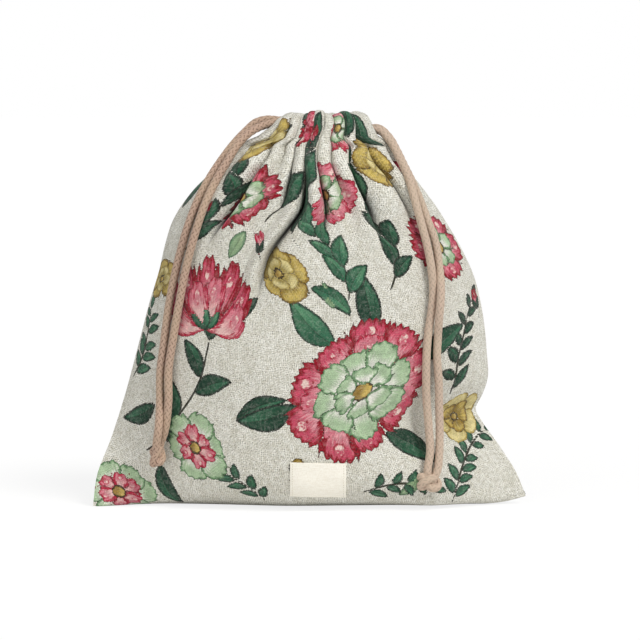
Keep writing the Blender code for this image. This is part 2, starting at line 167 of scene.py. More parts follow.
class Graph:
    """Short ways to add nodes to one material's, group's or world's tree."""

    def __init__(self, tree: bpy.types.NodeTree) -> None:
        """Works on this tree."""
        self.tree = tree

    def node(self, kind: str, **settings: object) -> bpy.types.Node:
        """A shader node of this kind with these properties."""
        made = self.tree.nodes.new("ShaderNode" + kind)
        for key, value in settings.items():
            setattr(made, key, value)
        return made

    def put(self, socket: bpy.types.NodeSocket, value: object) -> None:
        """Links a socket to the input, or writes a plain value into it."""
        if isinstance(value, bpy.types.NodeSocket):
            self.tree.links.new(value, socket)
        elif isinstance(value, (tuple, list)) and len(value) == 3 and socket.type == "RGBA":
            socket.default_value = (*value, 1.0)
        else:
            socket.default_value = value

    def filled(self, kind: str, values: tuple, **settings: object) -> bpy.types.NodeSocket:
        """First output of a node of this kind whose inputs take these values in order."""
        made = self.node(kind, **settings)
        for socket, value in zip(made.inputs, values):
            self.put(socket, value)
        return made.outputs[0]

    def named(self, kind: str, values: dict) -> bpy.types.NodeSocket:
        """First output of a node of this kind whose named inputs take these values."""
        made = self.node(kind)
        for key, value in values.items():
            self.put(made.inputs[key], value)
        return made.outputs[0]

    def math(self, operation: str, a: object, b: object = 0.0, c: object = 0.0) -> bpy.types.NodeSocket:
        """The result of a Math node on up to three inputs."""
        return self.filled("Math", (a, b, c), operation=operation)

    def mix(self, share: object, a: object, b: object) -> bpy.types.NodeSocket:
        """Colour `a` blended towards colour `b` by a share."""
        made = self.node("Mix", data_type="RGBA")
        for number, value in ((0, share), (6, a), (7, b)):
            self.put(made.inputs[number], value)
        return made.outputs[2]

    def step(self, value: object, low: object, high: object, start: object = 0.0,
             end: object = 1.0) -> bpy.types.NodeSocket:
        """A soft step from `start` to `end` as the value goes from low to high."""
        return self.filled("MapRange", (value, low, high, start, end), interpolation_type="SMOOTHSTEP")

    def vector(self, x: object, y: object, z: object) -> bpy.types.NodeSocket:
        """A vector of three parts."""
        return self.filled("CombineXYZ", (x, y, z))

    def split(self, whole: object, kind: str = "XYZ") -> tuple:
        """The three parts of a vector ("XYZ") or of a colour ("Color")."""
        made = self.node("Separate" + kind)
        self.put(made.inputs[0], whole)
        return tuple(made.outputs)

    def place(self) -> bpy.types.NodeSocket:
        """Where a point lies in the object's own metres."""
        return self.node("TexCoord").outputs["Object"]

    def attribute(self, name: str) -> bpy.types.NodeSocket:
        """A plain number that the mesh holds under this name."""
        return self.node("Attribute", attribute_name=name).outputs["Fac"]

    def scaled(self, vector: object, scale: tuple) -> bpy.types.NodeSocket:
        """A vector times a scale along each axis."""
        return self.named("Mapping", {"Vector": vector, "Scale": scale})

    def noise(self, vector: object, scale: float, detail: float = 2.0,
              rough: float = 0.5) -> bpy.types.NodeSocket:
        """Noise from 0 to 1 over a vector."""
        return self.named("TexNoise", {"Vector": vector, "Scale": scale, "Detail": detail,
                                       "Roughness": rough})

    def choice(self, share: object, values: list) -> bpy.types.Node:
        """A Color Ramp node that gives each equal part of 0 to 1 its own value, unblended."""
        made = self.node("ValToRGB")
        made.color_ramp.interpolation = "CONSTANT"
        while len(made.color_ramp.elements) < len(values):
            made.color_ramp.elements.new(0.5)
        for i, (element, value) in enumerate(zip(made.color_ramp.elements, values)):
            element.position = i / len(values)
            element.color = (*value, 1.0) if len(value) == 3 else value
        self.put(made.inputs[0], share)
        return made

    def bump(self, height: object, distance: float, strength: float) -> bpy.types.NodeSocket:
        """A bumped normal from a height from 0 to 1 that stands for this distance."""
        return self.named("Bump", {"Strength": strength, "Distance": distance, "Height": height})


def new_material(name: str) -> tuple[bpy.types.Material, Graph, bpy.types.Node]:
    """A material, its graph and its Principled shader."""
    material = bpy.data.materials.new(name)
    material.use_nodes = True
    return material, Graph(material.node_tree), material.node_tree.nodes["Principled BSDF"]


def set_finish(g: Graph, shader: bpy.types.Node, **values: object) -> None:
    """Gives the shader's inputs their values; an underscore in a name stands for a space."""
    for key, value in values.items():
        g.put(shader.inputs[key.replace("_", " ")], value)


class Ink(Enum):
    """The printed inks, numbered as their stops stand in the ink tables."""

    STEM = 0
    DEEP_GREEN = 1
    MID_GREEN = 2
    SAGE = 3
    OCHRE = 4
    PALE_OCHRE = 5
    CRIMSON = 6
    PINK = 7
    PALE_SAGE = 8
    SEED = 9

    @property
    def share(self) -> float:
        """Middle of this ink's stop on a scale from 0 to 1."""
        return (self.value + 0.5) / len(Ink)


@dataclass(frozen=True)
class InkLook:
    """How one ink prints: its colours from the edge inwards, and how its marks are drawn."""

    edge: tuple
    core: tuple
    heart: tuple            # towards the base of the shape
    outline: float          # strength of the dark outline
    edge_width: float       # mm from the outline to the inner colour
    vein: float             # strength of the middle line, and of the darker half beside it
    ragged: float           # how ragged its borders are
    teeth: float = 0.0      # mm between the points and the notches of its tip
    spot: float = 0.0       # strength of a pale oval in a dark ring near the tip


INK_LOOKS: dict[Ink, InkLook] = {
    Ink.STEM: InkLook((44, 42, 32), (54, 56, 40), (54, 56, 40), 0.0, 0.6, 0.0, 0.1),
    Ink.DEEP_GREEN: InkLook((14, 50, 36), (50, 104, 76), (30, 76, 54), 0.85, 1.8, 0.9, 0.12),
    Ink.MID_GREEN: InkLook((28, 78, 56), (86, 142, 106), (54, 110, 82), 0.80, 1.6, 0.7, 0.12),
    Ink.SAGE: InkLook((104, 140, 104), (166, 190, 150), (142, 172, 130), 0.60, 1.6, 0.5, 0.15),
    Ink.OCHRE: InkLook((146, 118, 48), (204, 180, 98), (142, 120, 54), 0.75, 2.2, 0.3, 0.5, 0.6),
    Ink.PALE_OCHRE: InkLook((184, 162, 90), (224, 210, 150), (168, 150, 82), 0.60, 1.6, 0.2, 0.5),
    Ink.CRIMSON: InkLook((146, 0, 30), (204, 76, 102), (228, 160, 168), 0.80, 5.0, 0.0, 0.7, 3.4, 0.9),
    Ink.PINK: InkLook((180, 28, 62), (216, 122, 138), (234, 192, 188), 0.65, 3.0, 0.0, 0.7, 2.4, 0.8),
    Ink.PALE_SAGE: InkLook((112, 152, 108), (176, 202, 164), (236, 236, 226), 0.70, 2.0, 0.1, 0.9, 1.8),
    Ink.SEED: InkLook((84, 66, 32), (206, 178, 96), (150, 120, 56), 0.80, 1.4, 0.0, 0.5),
}


@dataclass(frozen=True)
class Stroke:
    """One printed shape, from a base point outwards: a leaf, a petal, a stem or a seed head."""

    u: float                # base on the cloth, mm from its middle line
    v: float                # and mm up from the bottom seam
    turn: float             # direction, degrees from the cloth's width
    length: float           # mm
    half: float             # mm, its greatest half width
    ink: Ink
    layer: int
    widest: float = 0.8     # below 1 it is widest near its base
    fullness: float = 1.0   # below 1 its ends are rounder
    bend: float = 0.0       # mm that its middle stands to the left

    def point(self, along: float) -> tuple[float, float]:
        """A point on its middle line, at a share of its length."""
        turn = math.radians(self.turn)
        side = 4 * self.bend * along * (1 - along)
        return (self.u + self.length * along * math.cos(turn) - side * math.sin(turn),
                self.v + self.length * along * math.sin(turn) + side * math.cos(turn))

    def heading(self, along: float) -> float:
        """Direction of its middle line in degrees, at a share of its length."""
        return self.turn + math.degrees(math.atan(4 * self.bend * (1 - 2 * along) / self.length))

    def half_width(self, along: Array) -> Array:
        """Half width at shares of the length: half * sin(pi * along^widest)^fullness."""
        inside = np.clip(along, 0.0, 1.0)
        return self.half * np.sin(math.pi * inside ** self.widest) ** self.fullness

    def measure(self, cloth: Array) -> tuple[Array, Array, Array]:
        """Where points of the cloth lie in this shape.

        The sideways place is taken from the bent middle line, and the depth inside is the half width
        less that, over the outline's slant; past either end it is minus the distance to that end.

        Args:
            cloth: (..., 2) places on the cloth in mm.

        Returns:
            Share of the length, mm to the left of the middle line, and mm inside the outline.
        """
        turn = math.radians(self.turn)
        du, dv = cloth[..., 0] - self.u, cloth[..., 1] - self.v
        along = (du * math.cos(turn) + dv * math.sin(turn)) / self.length
        side = -du * math.sin(turn) + dv * math.cos(turn) - 4 * self.bend * along * (1 - along)
        slant = (self.half_width(along + 0.02) - self.half_width(along - 0.02)) / (0.04 * self.length)
        inside = (self.half_width(along) - np.abs(side)) / np.hypot(1.0, slant)
        past = np.maximum(-along, along - 1) * self.length
        return along, side, np.where(past > 0, -np.hypot(past, side), inside)


@dataclass
class Print:
    """A botanical print: shapes of ink in layers on the flat cloth, each layer over the last.

    Layer 0 holds stems, 1 and 2 leaves, 3 to 8 petals from the outer ring to the inner one, with sepals
    and seed heads. Neighbours that touch take two layers by turns, so that one overlaps the other.
    """

    strokes: list[Stroke] = field(default_factory=list)

    def leaf(self, u: float, v: float, turn: float, length: float, ink: Ink, half: float = 0.0,
             bend: float = 0.0, layer: int = 1) -> None:
        """A pointed leaf from its stalk end."""
        self.strokes.append(Stroke(u, v, turn, length, half or 0.20 * length, ink, layer, 0.85, 0.9, bend))

    def sprig(self, u: float, v: float, turn: float, length: float, bend: float, leaf: float,
              pairs: int, ink: Ink, spread: float = 46.0, stem: float = 0.55) -> None:
        """A curved stem with pairs of leaves, not quite opposite, and one at its tip.

        Args:
            u: foot of the stem across the cloth.
            v: and up it.
            turn: direction from foot to tip in degrees.
            length: of the stem.
            bend: how far its middle stands to the left.
            leaf: length of its lowest leaves.
            pairs: how many pairs.
            ink: of the leaves.
            spread: degrees between a leaf and the stem.
            stem: half width of the stem.
        """
        line = Stroke(u, v, turn, length, stem, Ink.STEM, 0, 1.0, 0.12, bend)
        self.strokes.append(line)
        draw = np.random.default_rng(int(abs(31 * u + 17 * v)))
        for i in range(pairs):
            for side in (-1, 1):
                along = (i + 0.55 + 0.16 * side) / (pairs + 0.35) + draw.uniform(-0.03, 0.03)
                x, y = line.point(along)
                lean = line.heading(along) + side * spread * draw.uniform(0.8, 1.15)
                away = math.radians(lean)
                reach = leaf * (1.08 - 0.30 * along) * draw.uniform(0.88, 1.12)
                self.leaf(x + 1.2 * math.cos(away), y + 1.2 * math.sin(away), lean, reach, ink,
                          0.23 * reach, -0.08 * side * reach, layer=1 if side > 0 else 2)
        x, y = line.point(1.0)
        self.leaf(x, y, line.heading(1.0), 0.9 * leaf, ink, 0.21 * leaf)

    def ring(self, u: float, v: float, start: float, end: float, petals: int, ink: Ink, layers: tuple,
             turn: float = 0.0, share: float = 0.92, widest: float = 1.6) -> None:
        """A ring of petals round a middle, on several layers by turns.

        Args:
            u: middle of the flower across the cloth.
            v: and up it.
            start: distance of the petals' bases from the middle.
            end: distance of their tips.
            petals: how many.
            ink: their ink.
            layers: the layers that they take by turns.
            turn: direction of the first.
            share: of the room at their widest that they fill.
            widest: where they are widest.
        """
        draw = np.random.default_rng(petals + int(abs(u) * 7 + v))
        half = share * math.pi * (start + 0.68 * (end - start)) / petals
        for i in range(petals):
            angle = turn + 360.0 * (i + draw.uniform(-0.12, 0.12)) / petals
            reach = (end - start) * draw.uniform(0.80, 1.12)
            x, y = u + start * math.cos(math.radians(angle)), v + start * math.sin(math.radians(angle))
            self.strokes.append(Stroke(x, y, angle, reach, half * draw.uniform(0.92, 1.1), ink,
                                       layers[i % len(layers)], widest, 0.55,
                                       draw.uniform(-0.06, 0.06) * reach))

    def disc(self, u: float, v: float, radius: float, ink: Ink, layer: int = 8) -> None:
        """A round seed head."""
        self.strokes.append(Stroke(u - radius, v, 0.0, 2 * radius, radius, ink, layer, 1.0, 0.5))

    def rosette(self, u: float, v: float, radius: float, turn: float = 0.0) -> None:
        """A large many-petalled bloom: crimson, pink and pale rings, and a seed head."""
        self.ring(u, v, 0.44 * radius, radius, 9, Ink.CRIMSON, (3, 4), turn, 1.04)
        self.ring(u, v, 0.34 * radius, 0.84 * radius, 7, Ink.PINK, (3, 4), turn + 24, 0.80)
        self.ring(u, v, 0.16 * radius, 0.70 * radius, 8, Ink.PALE_SAGE, (5, 6), turn + 9, 1.16)
        self.ring(u, v, 0.08 * radius, 0.42 * radius, 6, Ink.PALE_SAGE, (7, 8), turn + 30, 1.12)
        self.disc(u, v, 0.13 * radius, Ink.SEED)

    def blossom(self, u: float, v: float, radius: float, outer: Ink, inner: Ink, turn: float = 0.0,
                petals: int = 6) -> None:
        """An open blossom with a ring of inner petals and a seed head."""
        self.ring(u, v, 0.14 * radius, radius, petals, outer, (3, 4, 5), turn, 1.10, 1.45)
        self.ring(u, v, 0.08 * radius, 0.62 * radius, petals, inner, (6, 7), turn + 26, 1.05, 1.3)
        self.disc(u, v, 0.17 * radius, Ink.SEED)

    def leaves_round(self, u: float, v: float, radius: float, leaves: tuple) -> None:
        """Leaves that stand out from behind a flower, as (direction, length, ink)."""
        for turn, length, ink in leaves:
            lean = math.radians(turn)
            self.leaf(u + radius * math.cos(lean), v + radius * math.sin(lean), turn + 10, length, ink,
                      bend=0.07 * length, layer=1 if int(turn) % 2 else 2)

    def cup(self, u: float, v: float, turn: float, size: float, outer: Ink, inner: Ink) -> None:
        """A flower seen from its side: petals that open upwards out of three sepals."""
        for lean, reach, ink, layer, bend in (
                (-44, 0.86, outer, 3, -0.14), (44, 0.86, outer, 4, 0.14), (0, 1.00, outer, 3, 0.0),
                (-23, 0.98, outer, 5, -0.07), (23, 0.98, outer, 6, 0.07), (-58, 0.62, inner, 5, -0.16),
                (58, 0.62, inner, 6, 0.16), (-11, 0.72, inner, 7, -0.03), (13, 0.66, inner, 8, 0.03)):
            self.strokes.append(Stroke(u, v, turn + lean, reach * size, 0.17 * size, ink, layer, 1.45, 0.6,
                                       bend * size))
        for lean, layer in ((-40, 7), (38, 8), (0, 8)):
            self.leaf(u, v, turn + lean, 0.34 * size, Ink.MID_GREEN, 0.075 * size, layer=layer)

    def bud(self, u: float, v: float, turn: float, length: float, ink: Ink) -> None:
        """A closed bud between two sepals, on a short stalk."""
        self.strokes.append(Stroke(u, v, turn, 0.62 * length, 0.6, Ink.STEM, 0, 1.0, 0.12, 0.03 * length))
        lean = math.radians(turn)
        x, y = u + 0.5 * length * math.cos(lean), v + 0.5 * length * math.sin(lean)
        self.strokes.append(Stroke(x, y, turn, length, 0.32 * length, ink, 3, 0.9, 0.75))
        for side in (-1, 1):
            self.leaf(x, y, turn + 30 * side, 0.62 * length, Ink.DEEP_GREEN, layer=5 if side > 0 else 6)

    def fields(self, middles: Array, corners: Array) -> Array:
        """What each face corner of the cloth holds in each layer.

        Each face takes the shape of that layer that it lies deepest in, or nearest to, and its four
        corners are measured from that one shape, so that no value is blended between two shapes.

        Args:
            middles: (faces, 2) middle of each face on the cloth in mm.
            corners: (faces, 4, 2) its corners.

        Returns:
            (layers, faces, 4, 4): share of the length, mm sideways, mm inside, and the ink.
        """
        out = np.zeros((PRINT_LAYERS, len(middles), 4, 4), np.float32)
        out[..., 2] = -20.0
        for layer in range(PRINT_LAYERS):
            chosen, depth = np.full(len(middles), -1), np.full(len(middles), -6.0)
            mine = [s for s in self.strokes if s.layer == layer]
            for number, stroke in enumerate(mine):
                inside = stroke.measure(middles)[2]
                chosen = np.where(inside > depth, number, chosen)
                depth = np.maximum(inside, depth)
            for number, stroke in enumerate(mine):
                here = chosen == number
                if here.any():
                    out[layer, here, :, :3] = np.stack(stroke.measure(corners[here]), axis=-1)
                    out[layer, here, :, 3] = stroke.ink.share
        return out


DEEP, MID, SAGE, OCHRE, STRAW = Ink.DEEP_GREEN, Ink.MID_GREEN, Ink.SAGE, Ink.OCHRE, Ink.PALE_OCHRE
CRIMSON, PINK, PALE = Ink.CRIMSON, Ink.PINK, Ink.PALE_SAGE


def front_print() -> Print:
    """The front's layout, in mm on the cloth."""
    art = Print()
    art.rosette(36, 112, 46, 8)
    art.leaves_round(36, 112, 39, ((17, 38, DEEP), (83, 40, DEEP), (124, 42, MID), (190, 40, DEEP),
                                   (303, 40, DEEP)))
    art.cup(-72, 146, 100, 50, CRIMSON, PINK)
    art.sprig(-108, 50, 66, 98, -9, 30, 2, DEEP, 42, 0.8)
    for row in ((-70, 66, 23, PALE, PINK, 20, 6), (104, 196, 24, CRIMSON, PALE, 50),
                (-16, 190, 19, OCHRE, STRAW, 12, 5), (114, 72, 17, STRAW, OCHRE, 30, 5),
                (-122, 170, 15, OCHRE, STRAW, 40, 5), (36, 240, 21, PINK, PALE, 0, 5),
                (-68, 236, 21, CRIMSON, PALE, 30, 5), (92, 258, 19, OCHRE, STRAW, 10, 5),
                (-120, 16, 24, PALE, PINK, 15, 6)):
        art.blossom(*row)
    for row in ((-28, 34, 150, 44, -7, 11, 5, MID, 50, 0.85), (30, 42, 352, 44, 6, 11, 4, MID, 50, 0.85),
                (84, 18, 38, 62, 9, 12, 6, MID, 50, 0.85), (102, 92, 74, 66, 8, 14, 5, DEEP, 48, 0.85),
                (54, 176, 74, 48, -6, 22, 2, DEEP, 26, 0.8), (-102, 194, 86, 56, -6, 24, 2, DEEP, 24, 0.8),
                (4, 206, 88, 60, 4, 30, 2, DEEP, 17, 0.8), (72, 220, 88, 58, 5, 26, 2, MID, 18, 0.8),
                (-42, 222, 90, 56, -4, 26, 2, DEEP, 18, 0.8), (-130, 96, 84, 52, -5, 13, 5, MID, 48, 0.85)):
        art.sprig(*row)
    for row in ((-40, 92, 30, 34, DEEP, 6.0, 4.0), (-104, 84, 215, 32, DEEP, 6.0, 3.0),
                (-96, 46, 300, 34, DEEP, 6.0, -3.0), (-38, 172, 235, 34, DEEP, 6.0, -4.0),
                (2, 182, 320, 30, MID, 5.5, 3.0), (66, 46, 215, 18, SAGE, 3.8, 1.5),
                (-66, 196, 60, 22, SAGE, 4.2, 1.5), (14, 168, 100, 18, SAGE, 3.8, 1.0),
                (-128, 222, 84, 26, DEEP, 5.0, 2.0)):
        art.leaf(*row)
    for row in ((60, 282, 16, PINK, PALE, 0, 5), (-34, 284, 17, CRIMSON, PINK, 20, 5),
                (-104, 272, 15, OCHRE, STRAW, 20, 5)):
        art.blossom(*row)
    for u, v, turn in ((-84, 262, 60), (-12, 268, 110), (24, 276, 70), (84, 276, 80), (112, 268, 100)):
        art.leaf(u, v, turn, 26, DEEP, 6.0, 2.0)
    art.sprig(24, 172, 98, 50, -6, 21, 3, MID, 32, 0.9)
    for row in ((-96, 210, 112, 15, CRIMSON), (126, 140, 96, 15, CRIMSON), (-40, 196, 110, 14, PINK),
                (12, 262, 96, 15, CRIMSON), (-12, 54, 60, 13, OCHRE), (126, 236, 92, 14, PINK)):
        art.bud(*row)
    return art


def back_print() -> Print:
    """The back's layout, in mm on the cloth."""
    art = Print()
    art.rosette(-34, 148, 48, 0)
    art.leaves_round(-34, 148, 42, ((5, 34, MID), (42, 30, DEEP), (71, 34, MID), (112, 32, DEEP),
                                    (145, 34, MID), (190, 32, DEEP), (237, 34, DEEP), (272, 28, MID),
                                    (311, 34, DEEP)))
    art.cup(66, 70, 84, 48, CRIMSON, PINK)
    art.sprig(28, 34, 24, 46, 6, 20, 2, DEEP, 44, 0.8)
    for row in ((74, 176, 25, PINK, PALE, 35), (-100, 74, 22, OCHRE, STRAW, 0),
                (6, 74, 19, PINK, PALE, 30, 5), (-108, 222, 20, CRIMSON, PINK, 12),
                (10, 232, 21, OCHRE, STRAW, 40), (114, 122, 16, STRAW, OCHRE, 0, 5)):
        art.blossom(*row)
    for row in ((-72, 34, 28, 56, 7, 15, 4, MID), (22, 104, 78, 66, 8, 22, 3, DEEP, 44, 0.8),
                (104, 40, 76, 62, -7, 15, 4, DEEP), (-122, 104, 82, 72, 7, 18, 4, MID),
                (-64, 200, 84, 66, -7, 20, 3, DEEP, 44, 0.8), (42, 200, 92, 66, 7, 20, 3, MID, 44, 0.8),
                (104, 196, 86, 72, 7, 20, 4, DEEP, 44, 0.8)):
        art.sprig(*row)
    for row in ((-60, 88, 230, 14, CRIMSON), (106, 160, 80, 13, CRIMSON), (40, 138, 60, 13, OCHRE),
                (-86, 190, 110, 13, PINK), (-24, 236, 92, 14, CRIMSON)):
        art.bud(*row)
    return art


@dataclass(frozen=True)
class PrintedLinen:
    """Plain-weave linen of uneven yarns, printed with the inks that its layers hold."""

    light: tuple = (247, 246, 238)
    mid: tuple = (214, 211, 197)
    patch: tuple = (206, 202, 184)      # wide, slightly darker places
    fleck: tuple = (74, 68, 54)         # the gaps between yarns
    inked_fleck: tuple = (60, 56, 46)   # the same, where the cloth is printed
    line: tuple = (34, 30, 26)          # the drawn outlines and veins
    oval: tuple = (236, 214, 204)       # the pale spot near a petal's tip
    shade: tuple = (26, 22, 16)         # painted shade for the depths of the pleats' valleys
    pitch: float = 1.10                 # mm between yarns
    tooth: float = 2.5                  # mm from a point of a toothed tip to its notch, sideways

    def layer_group(self) -> bpy.types.NodeTree:
        """The nodes that lay one layer of shapes over those below.

        The depth is the mm inside the outline, moved by the ink's noise and by the teeth of its tip.
        Where it is above zero, or on a part of the outline that is drawn, this layer is the one seen.
        """
        tree = bpy.data.node_groups.new("Printed layer", "ShaderNodeTree")
        for name, way, kind in (("Place", "INPUT", "Color"), ("Ink", "INPUT", "Float"),
                                ("Below", "INPUT", "Vector"), ("Ink below", "INPUT", "Float"),
                                ("Wobble", "INPUT", "Float"), ("Stain", "INPUT", "Float"),
                                ("Seen", "OUTPUT", "Vector"), ("Ink seen", "OUTPUT", "Float")):
            tree.interface.new_socket(name, in_out=way, socket_type="NodeSocket" + kind)
        g = Graph(tree)
        given, out = tree.nodes.new("NodeGroupInput").outputs, tree.nodes.new("NodeGroupOutput").inputs
        ink, wobble, stain = (given[key] for key in ("Ink", "Wobble", "Stain"))
        along, side, inside = g.split(given["Place"], "Color")
        rules = g.choice(ink, [(k.ragged, k.teeth / 4, k.outline) for k in INK_LOOKS.values()])
        ragged, teeth, outline = g.split(rules.outputs[0], "Color")
        depth = g.math("MULTIPLY_ADD", g.math("MULTIPLY_ADD", stain, 6.0, -3.0), ragged, inside)
        shiver = g.math("MULTIPLY_ADD", ragged, 1.1, 0.08)
        depth = g.math("MULTIPLY_ADD", g.math("SUBTRACT", wobble, 0.5), shiver, depth)
        point = g.math("MULTIPLY_ADD", g.math("PINGPONG", side, self.tooth), 4 / self.tooth, -2.0)
        point = g.math("MULTIPLY", point, g.step(along, 0.40, 0.75))
        depth = g.math("MULTIPLY_ADD", point, teeth, depth)
        drawn = g.math("MULTIPLY", outline, g.step(wobble, 0.34, 0.52))
        seen = g.math("GREATER_THAN", g.math("MULTIPLY_ADD", drawn, 0.75, depth), 0.0)
        top = g.node("Mix", data_type="VECTOR")
        for number, value in ((0, seen), (4, given["Below"]), (5, g.vector(along, side, depth))):
            g.put(top.inputs[number], value)
        g.put(out["Seen"], top.outputs[1])
        kept = g.math("MULTIPLY", given["Ink below"], g.math("SUBTRACT", 1.0, seen))
        g.put(out["Ink seen"], g.math("MULTIPLY_ADD", ink, seen, kept))
        return tree

    def drawn(self, g: Graph, ink: object, place: object, wobble: object, stain: object) -> tuple:
        """Colour and cover of the shape that is seen at a point.

        The inner colour starts at the ink's edge width, moved by long streaks, and the heart's colour
        spreads from the base. One half of a leaf is darker, a petal has a pale oval in a dark ring near
        its tip, and a thin dark line follows the outline in places.
        """
        along, side, depth = g.split(place)
        looks = list(INK_LOOKS.values())
        edge, core, heart = (g.choice(ink, [srgb(*getattr(look, key)) for look in looks]).outputs[0]
                             for key in ("edge", "core", "heart"))
        rules = g.choice(ink, [(k.outline, k.edge_width / 8, k.vein, k.spot) for k in looks])
        outline, width, vein = g.split(rules.outputs[0], "Color")
        spotted = rules.outputs[1]
        spot = g.math("MULTIPLY", spotted, g.step(stain, 0.46, 0.58))
        spread = g.vector(g.math("MULTIPLY", along, 1.8), g.math("MULTIPLY", side, 0.75),
                          g.math("MULTIPLY", ink, 40.0))
        streak = g.math("SUBTRACT", g.noise(spread, 1.0, 3.0, 0.62), 0.5)
        moved = g.math("MULTIPLY_ADD", streak, g.math("MULTIPLY_ADD", spotted, 12.0, 2.5), depth)
        zone = g.math("MULTIPLY", width, 8.0)
        inner = g.step(moved, g.math("MULTIPLY", zone, 0.40), zone)
        colour = g.mix(inner, edge, core)
        base = g.math("MULTIPLY_ADD", streak, 0.9, along)
        colour = g.mix(g.math("MULTIPLY", g.step(base, 0.30, 0.72, 1.0, 0.0), inner), colour, heart)
        shaded = g.math("MULTIPLY", g.step(side, -0.15, 0.15), vein)
        colour = g.mix(g.math("MULTIPLY", shaded, 0.75), colour, edge)
        off_middle = g.math("ABSOLUTE", side)
        reach = g.math("MAXIMUM", g.math("ADD", depth, off_middle), 1.5)
        oval_up = g.math("MULTIPLY_ADD", along, 1 / 0.15, -0.70 / 0.15)
        oval_side = g.math("DIVIDE", side, g.math("MULTIPLY", reach, 0.24))
        oval = g.math("SQRT", g.math("ADD", g.math("MULTIPLY", oval_up, oval_up),
                                     g.math("MULTIPLY", oval_side, oval_side)))
        oval = g.math("MULTIPLY_ADD", streak, 1.2, oval)
        ring = g.math("MULTIPLY", g.step(oval, 0.85, 1.05), g.step(oval, 1.30, 1.60, 1.0, 0.0))
        colour = g.mix(g.math("MULTIPLY", ring, spot), colour, edge)
        colour = g.mix(g.math("MULTIPLY", g.step(oval, 0.70, 0.95, 1.0, 0.0), spot), colour, srgb(*self.oval))
        line = g.math("MULTIPLY", g.step(off_middle, 0.10, 0.42, 1.0, 0.0),
                      g.math("MULTIPLY", g.step(along, 0.60, 0.95, 1.0, 0.0), vein))
        rim = g.math("MULTIPLY", g.step(depth, 0.05, 0.42, 1.0, 0.0), outline)
        rim = g.math("MULTIPLY", rim, g.step(wobble, 0.34, 0.52))
        dark = g.math("MAXIMUM", g.math("MULTIPLY", line, 0.7), rim)
        tinted = g.node("VectorMath", operation="SCALE")
        g.put(tinted.inputs[0], g.mix(dark, colour, srgb(*self.line)))
        g.put(tinted.inputs["Scale"], g.step(stain, 0.3, 0.7, 0.84, 1.14))
        return tinted.outputs[0], g.math("GREATER_THAN", depth, -4.0)

    def weave(self, g: Graph, mm: object) -> tuple:
        """A plain weave of uneven yarns, pitch mm apart.

        Each yarn has its own noise along it. The upper yarn changes with every crossing. The gaps
        lie where two yarns' edges meet, with a fainter line along each edge: for the places a and b in a
        cell, (1 - sin pi a)(1 - sin pi b) + 0.3 max(1 - sin pi a, 1 - sin pi b).

        Args:
            g: the material's graph.
            mm: place on the cloth in mm.

        Returns:
            Brightness of the upper yarn, the gaps, and the height.
        """
        sway = g.noise(mm, 0.11, 1.0)
        flat = g.split(mm)
        cells, places, yarns = [], [], []
        for k in range(2):
            run = g.math("MULTIPLY_ADD", flat[k], 1 / self.pitch, g.math("MULTIPLY", sway, 4.0))
            cells.append(g.math("FLOOR", run))
            places.append(g.math("SINE", g.math("MULTIPLY", g.math("FRACT", run), math.pi)))
        for k in range(2):
            spot = g.vector(g.math("MULTIPLY", cells[k], 7.31), g.math("MULTIPLY", flat[1 - k], 0.30),
                            3.7 + 11.3 * k)
            yarns.append(g.noise(spot, 1.0, 2.0, 0.6))
        over = g.math("FRACT", g.math("MULTIPLY", g.math("ADD", *cells), 0.5))
        over = g.step(over, 0.2, 0.3)
        upper = g.math("MULTIPLY_ADD", over, 0.36, 0.32)
        bright = g.math("ADD", g.math("MULTIPLY", yarns[0], upper),
                        g.math("MULTIPLY", yarns[1], g.math("SUBTRACT", 1.0, upper)))
        beside = [g.math("SUBTRACT", 1.0, place) for place in places]
        gaps = g.math("MULTIPLY_ADD", g.math("MAXIMUM", *beside), 0.30, g.math("MULTIPLY", *beside))
        height = g.math("ADD", g.math("MULTIPLY", places[0], over),
                        g.math("MULTIPLY", places[1], g.math("SUBTRACT", 1.0, over)))
        return bright, g.step(gaps, 0.12, 0.62), height

    def build(self) -> bpy.types.Material:
        """The material. Threads and flecks follow the cloth's own map, in metres."""
        material, g, shader = new_material("Printed linen")
        mm = g.scaled(g.node("UVMap", uv_map="cloth").outputs[0], (1 / MM, 1 / MM, 1 / MM))
        thread, pores, height = self.weave(g, mm)
        linen = g.mix(g.step(thread, 0.34, 0.62), srgb(*self.mid), srgb(*self.light))
        linen = g.mix(g.step(g.noise(mm, 0.05), 0.35, 0.70, 0.0, 0.22), linen, srgb(*self.patch))
        grain = g.noise(mm, 0.95, 2.0, 0.6)
        flecks = g.math("MULTIPLY", pores, g.step(grain, 0.44, 0.62, 0.20, 1.0))
        linen = g.mix(g.math("MULTIPLY", flecks, 0.72), linen, srgb(*self.fleck))
        wobble, stain = g.noise(mm, 0.9, 2.0, 0.6), g.noise(mm, 0.24, 3.0, 0.6)
        group = self.layer_group()
        place, ink = (0.0, 0.0, -9.0), 0.0
        for layer in range(PRINT_LAYERS):
            held = g.node("Attribute", attribute_name=f"print_{layer}").outputs
            shapes = g.node("Group", node_tree=group)
            for key, value in (("Place", held["Color"]), ("Ink", held["Alpha"]), ("Below", place),
                               ("Ink below", ink), ("Wobble", wobble), ("Stain", stain)):
                g.put(shapes.inputs[key], value)
            place, ink = shapes.outputs["Seen"], shapes.outputs["Ink seen"]
        printed, cover = self.drawn(g, ink, place, wobble, stain)
        taken = g.step(thread, 0.42, 0.66, 1.0, 0.90)
        colour = g.mix(g.math("MULTIPLY", cover, taken), linen, printed)
        colour = g.mix(g.math("MULTIPLY", flecks, 0.22), colour, srgb(*self.inked_fleck))
        # Painted shade: the cloth is darkened towards the shade colour in the pleats' valleys, by the share
        # each point holds
        colour = g.mix(g.math("MULTIPLY", g.attribute("painted_valley_shade"), 0.90), colour, srgb(*self.shade))
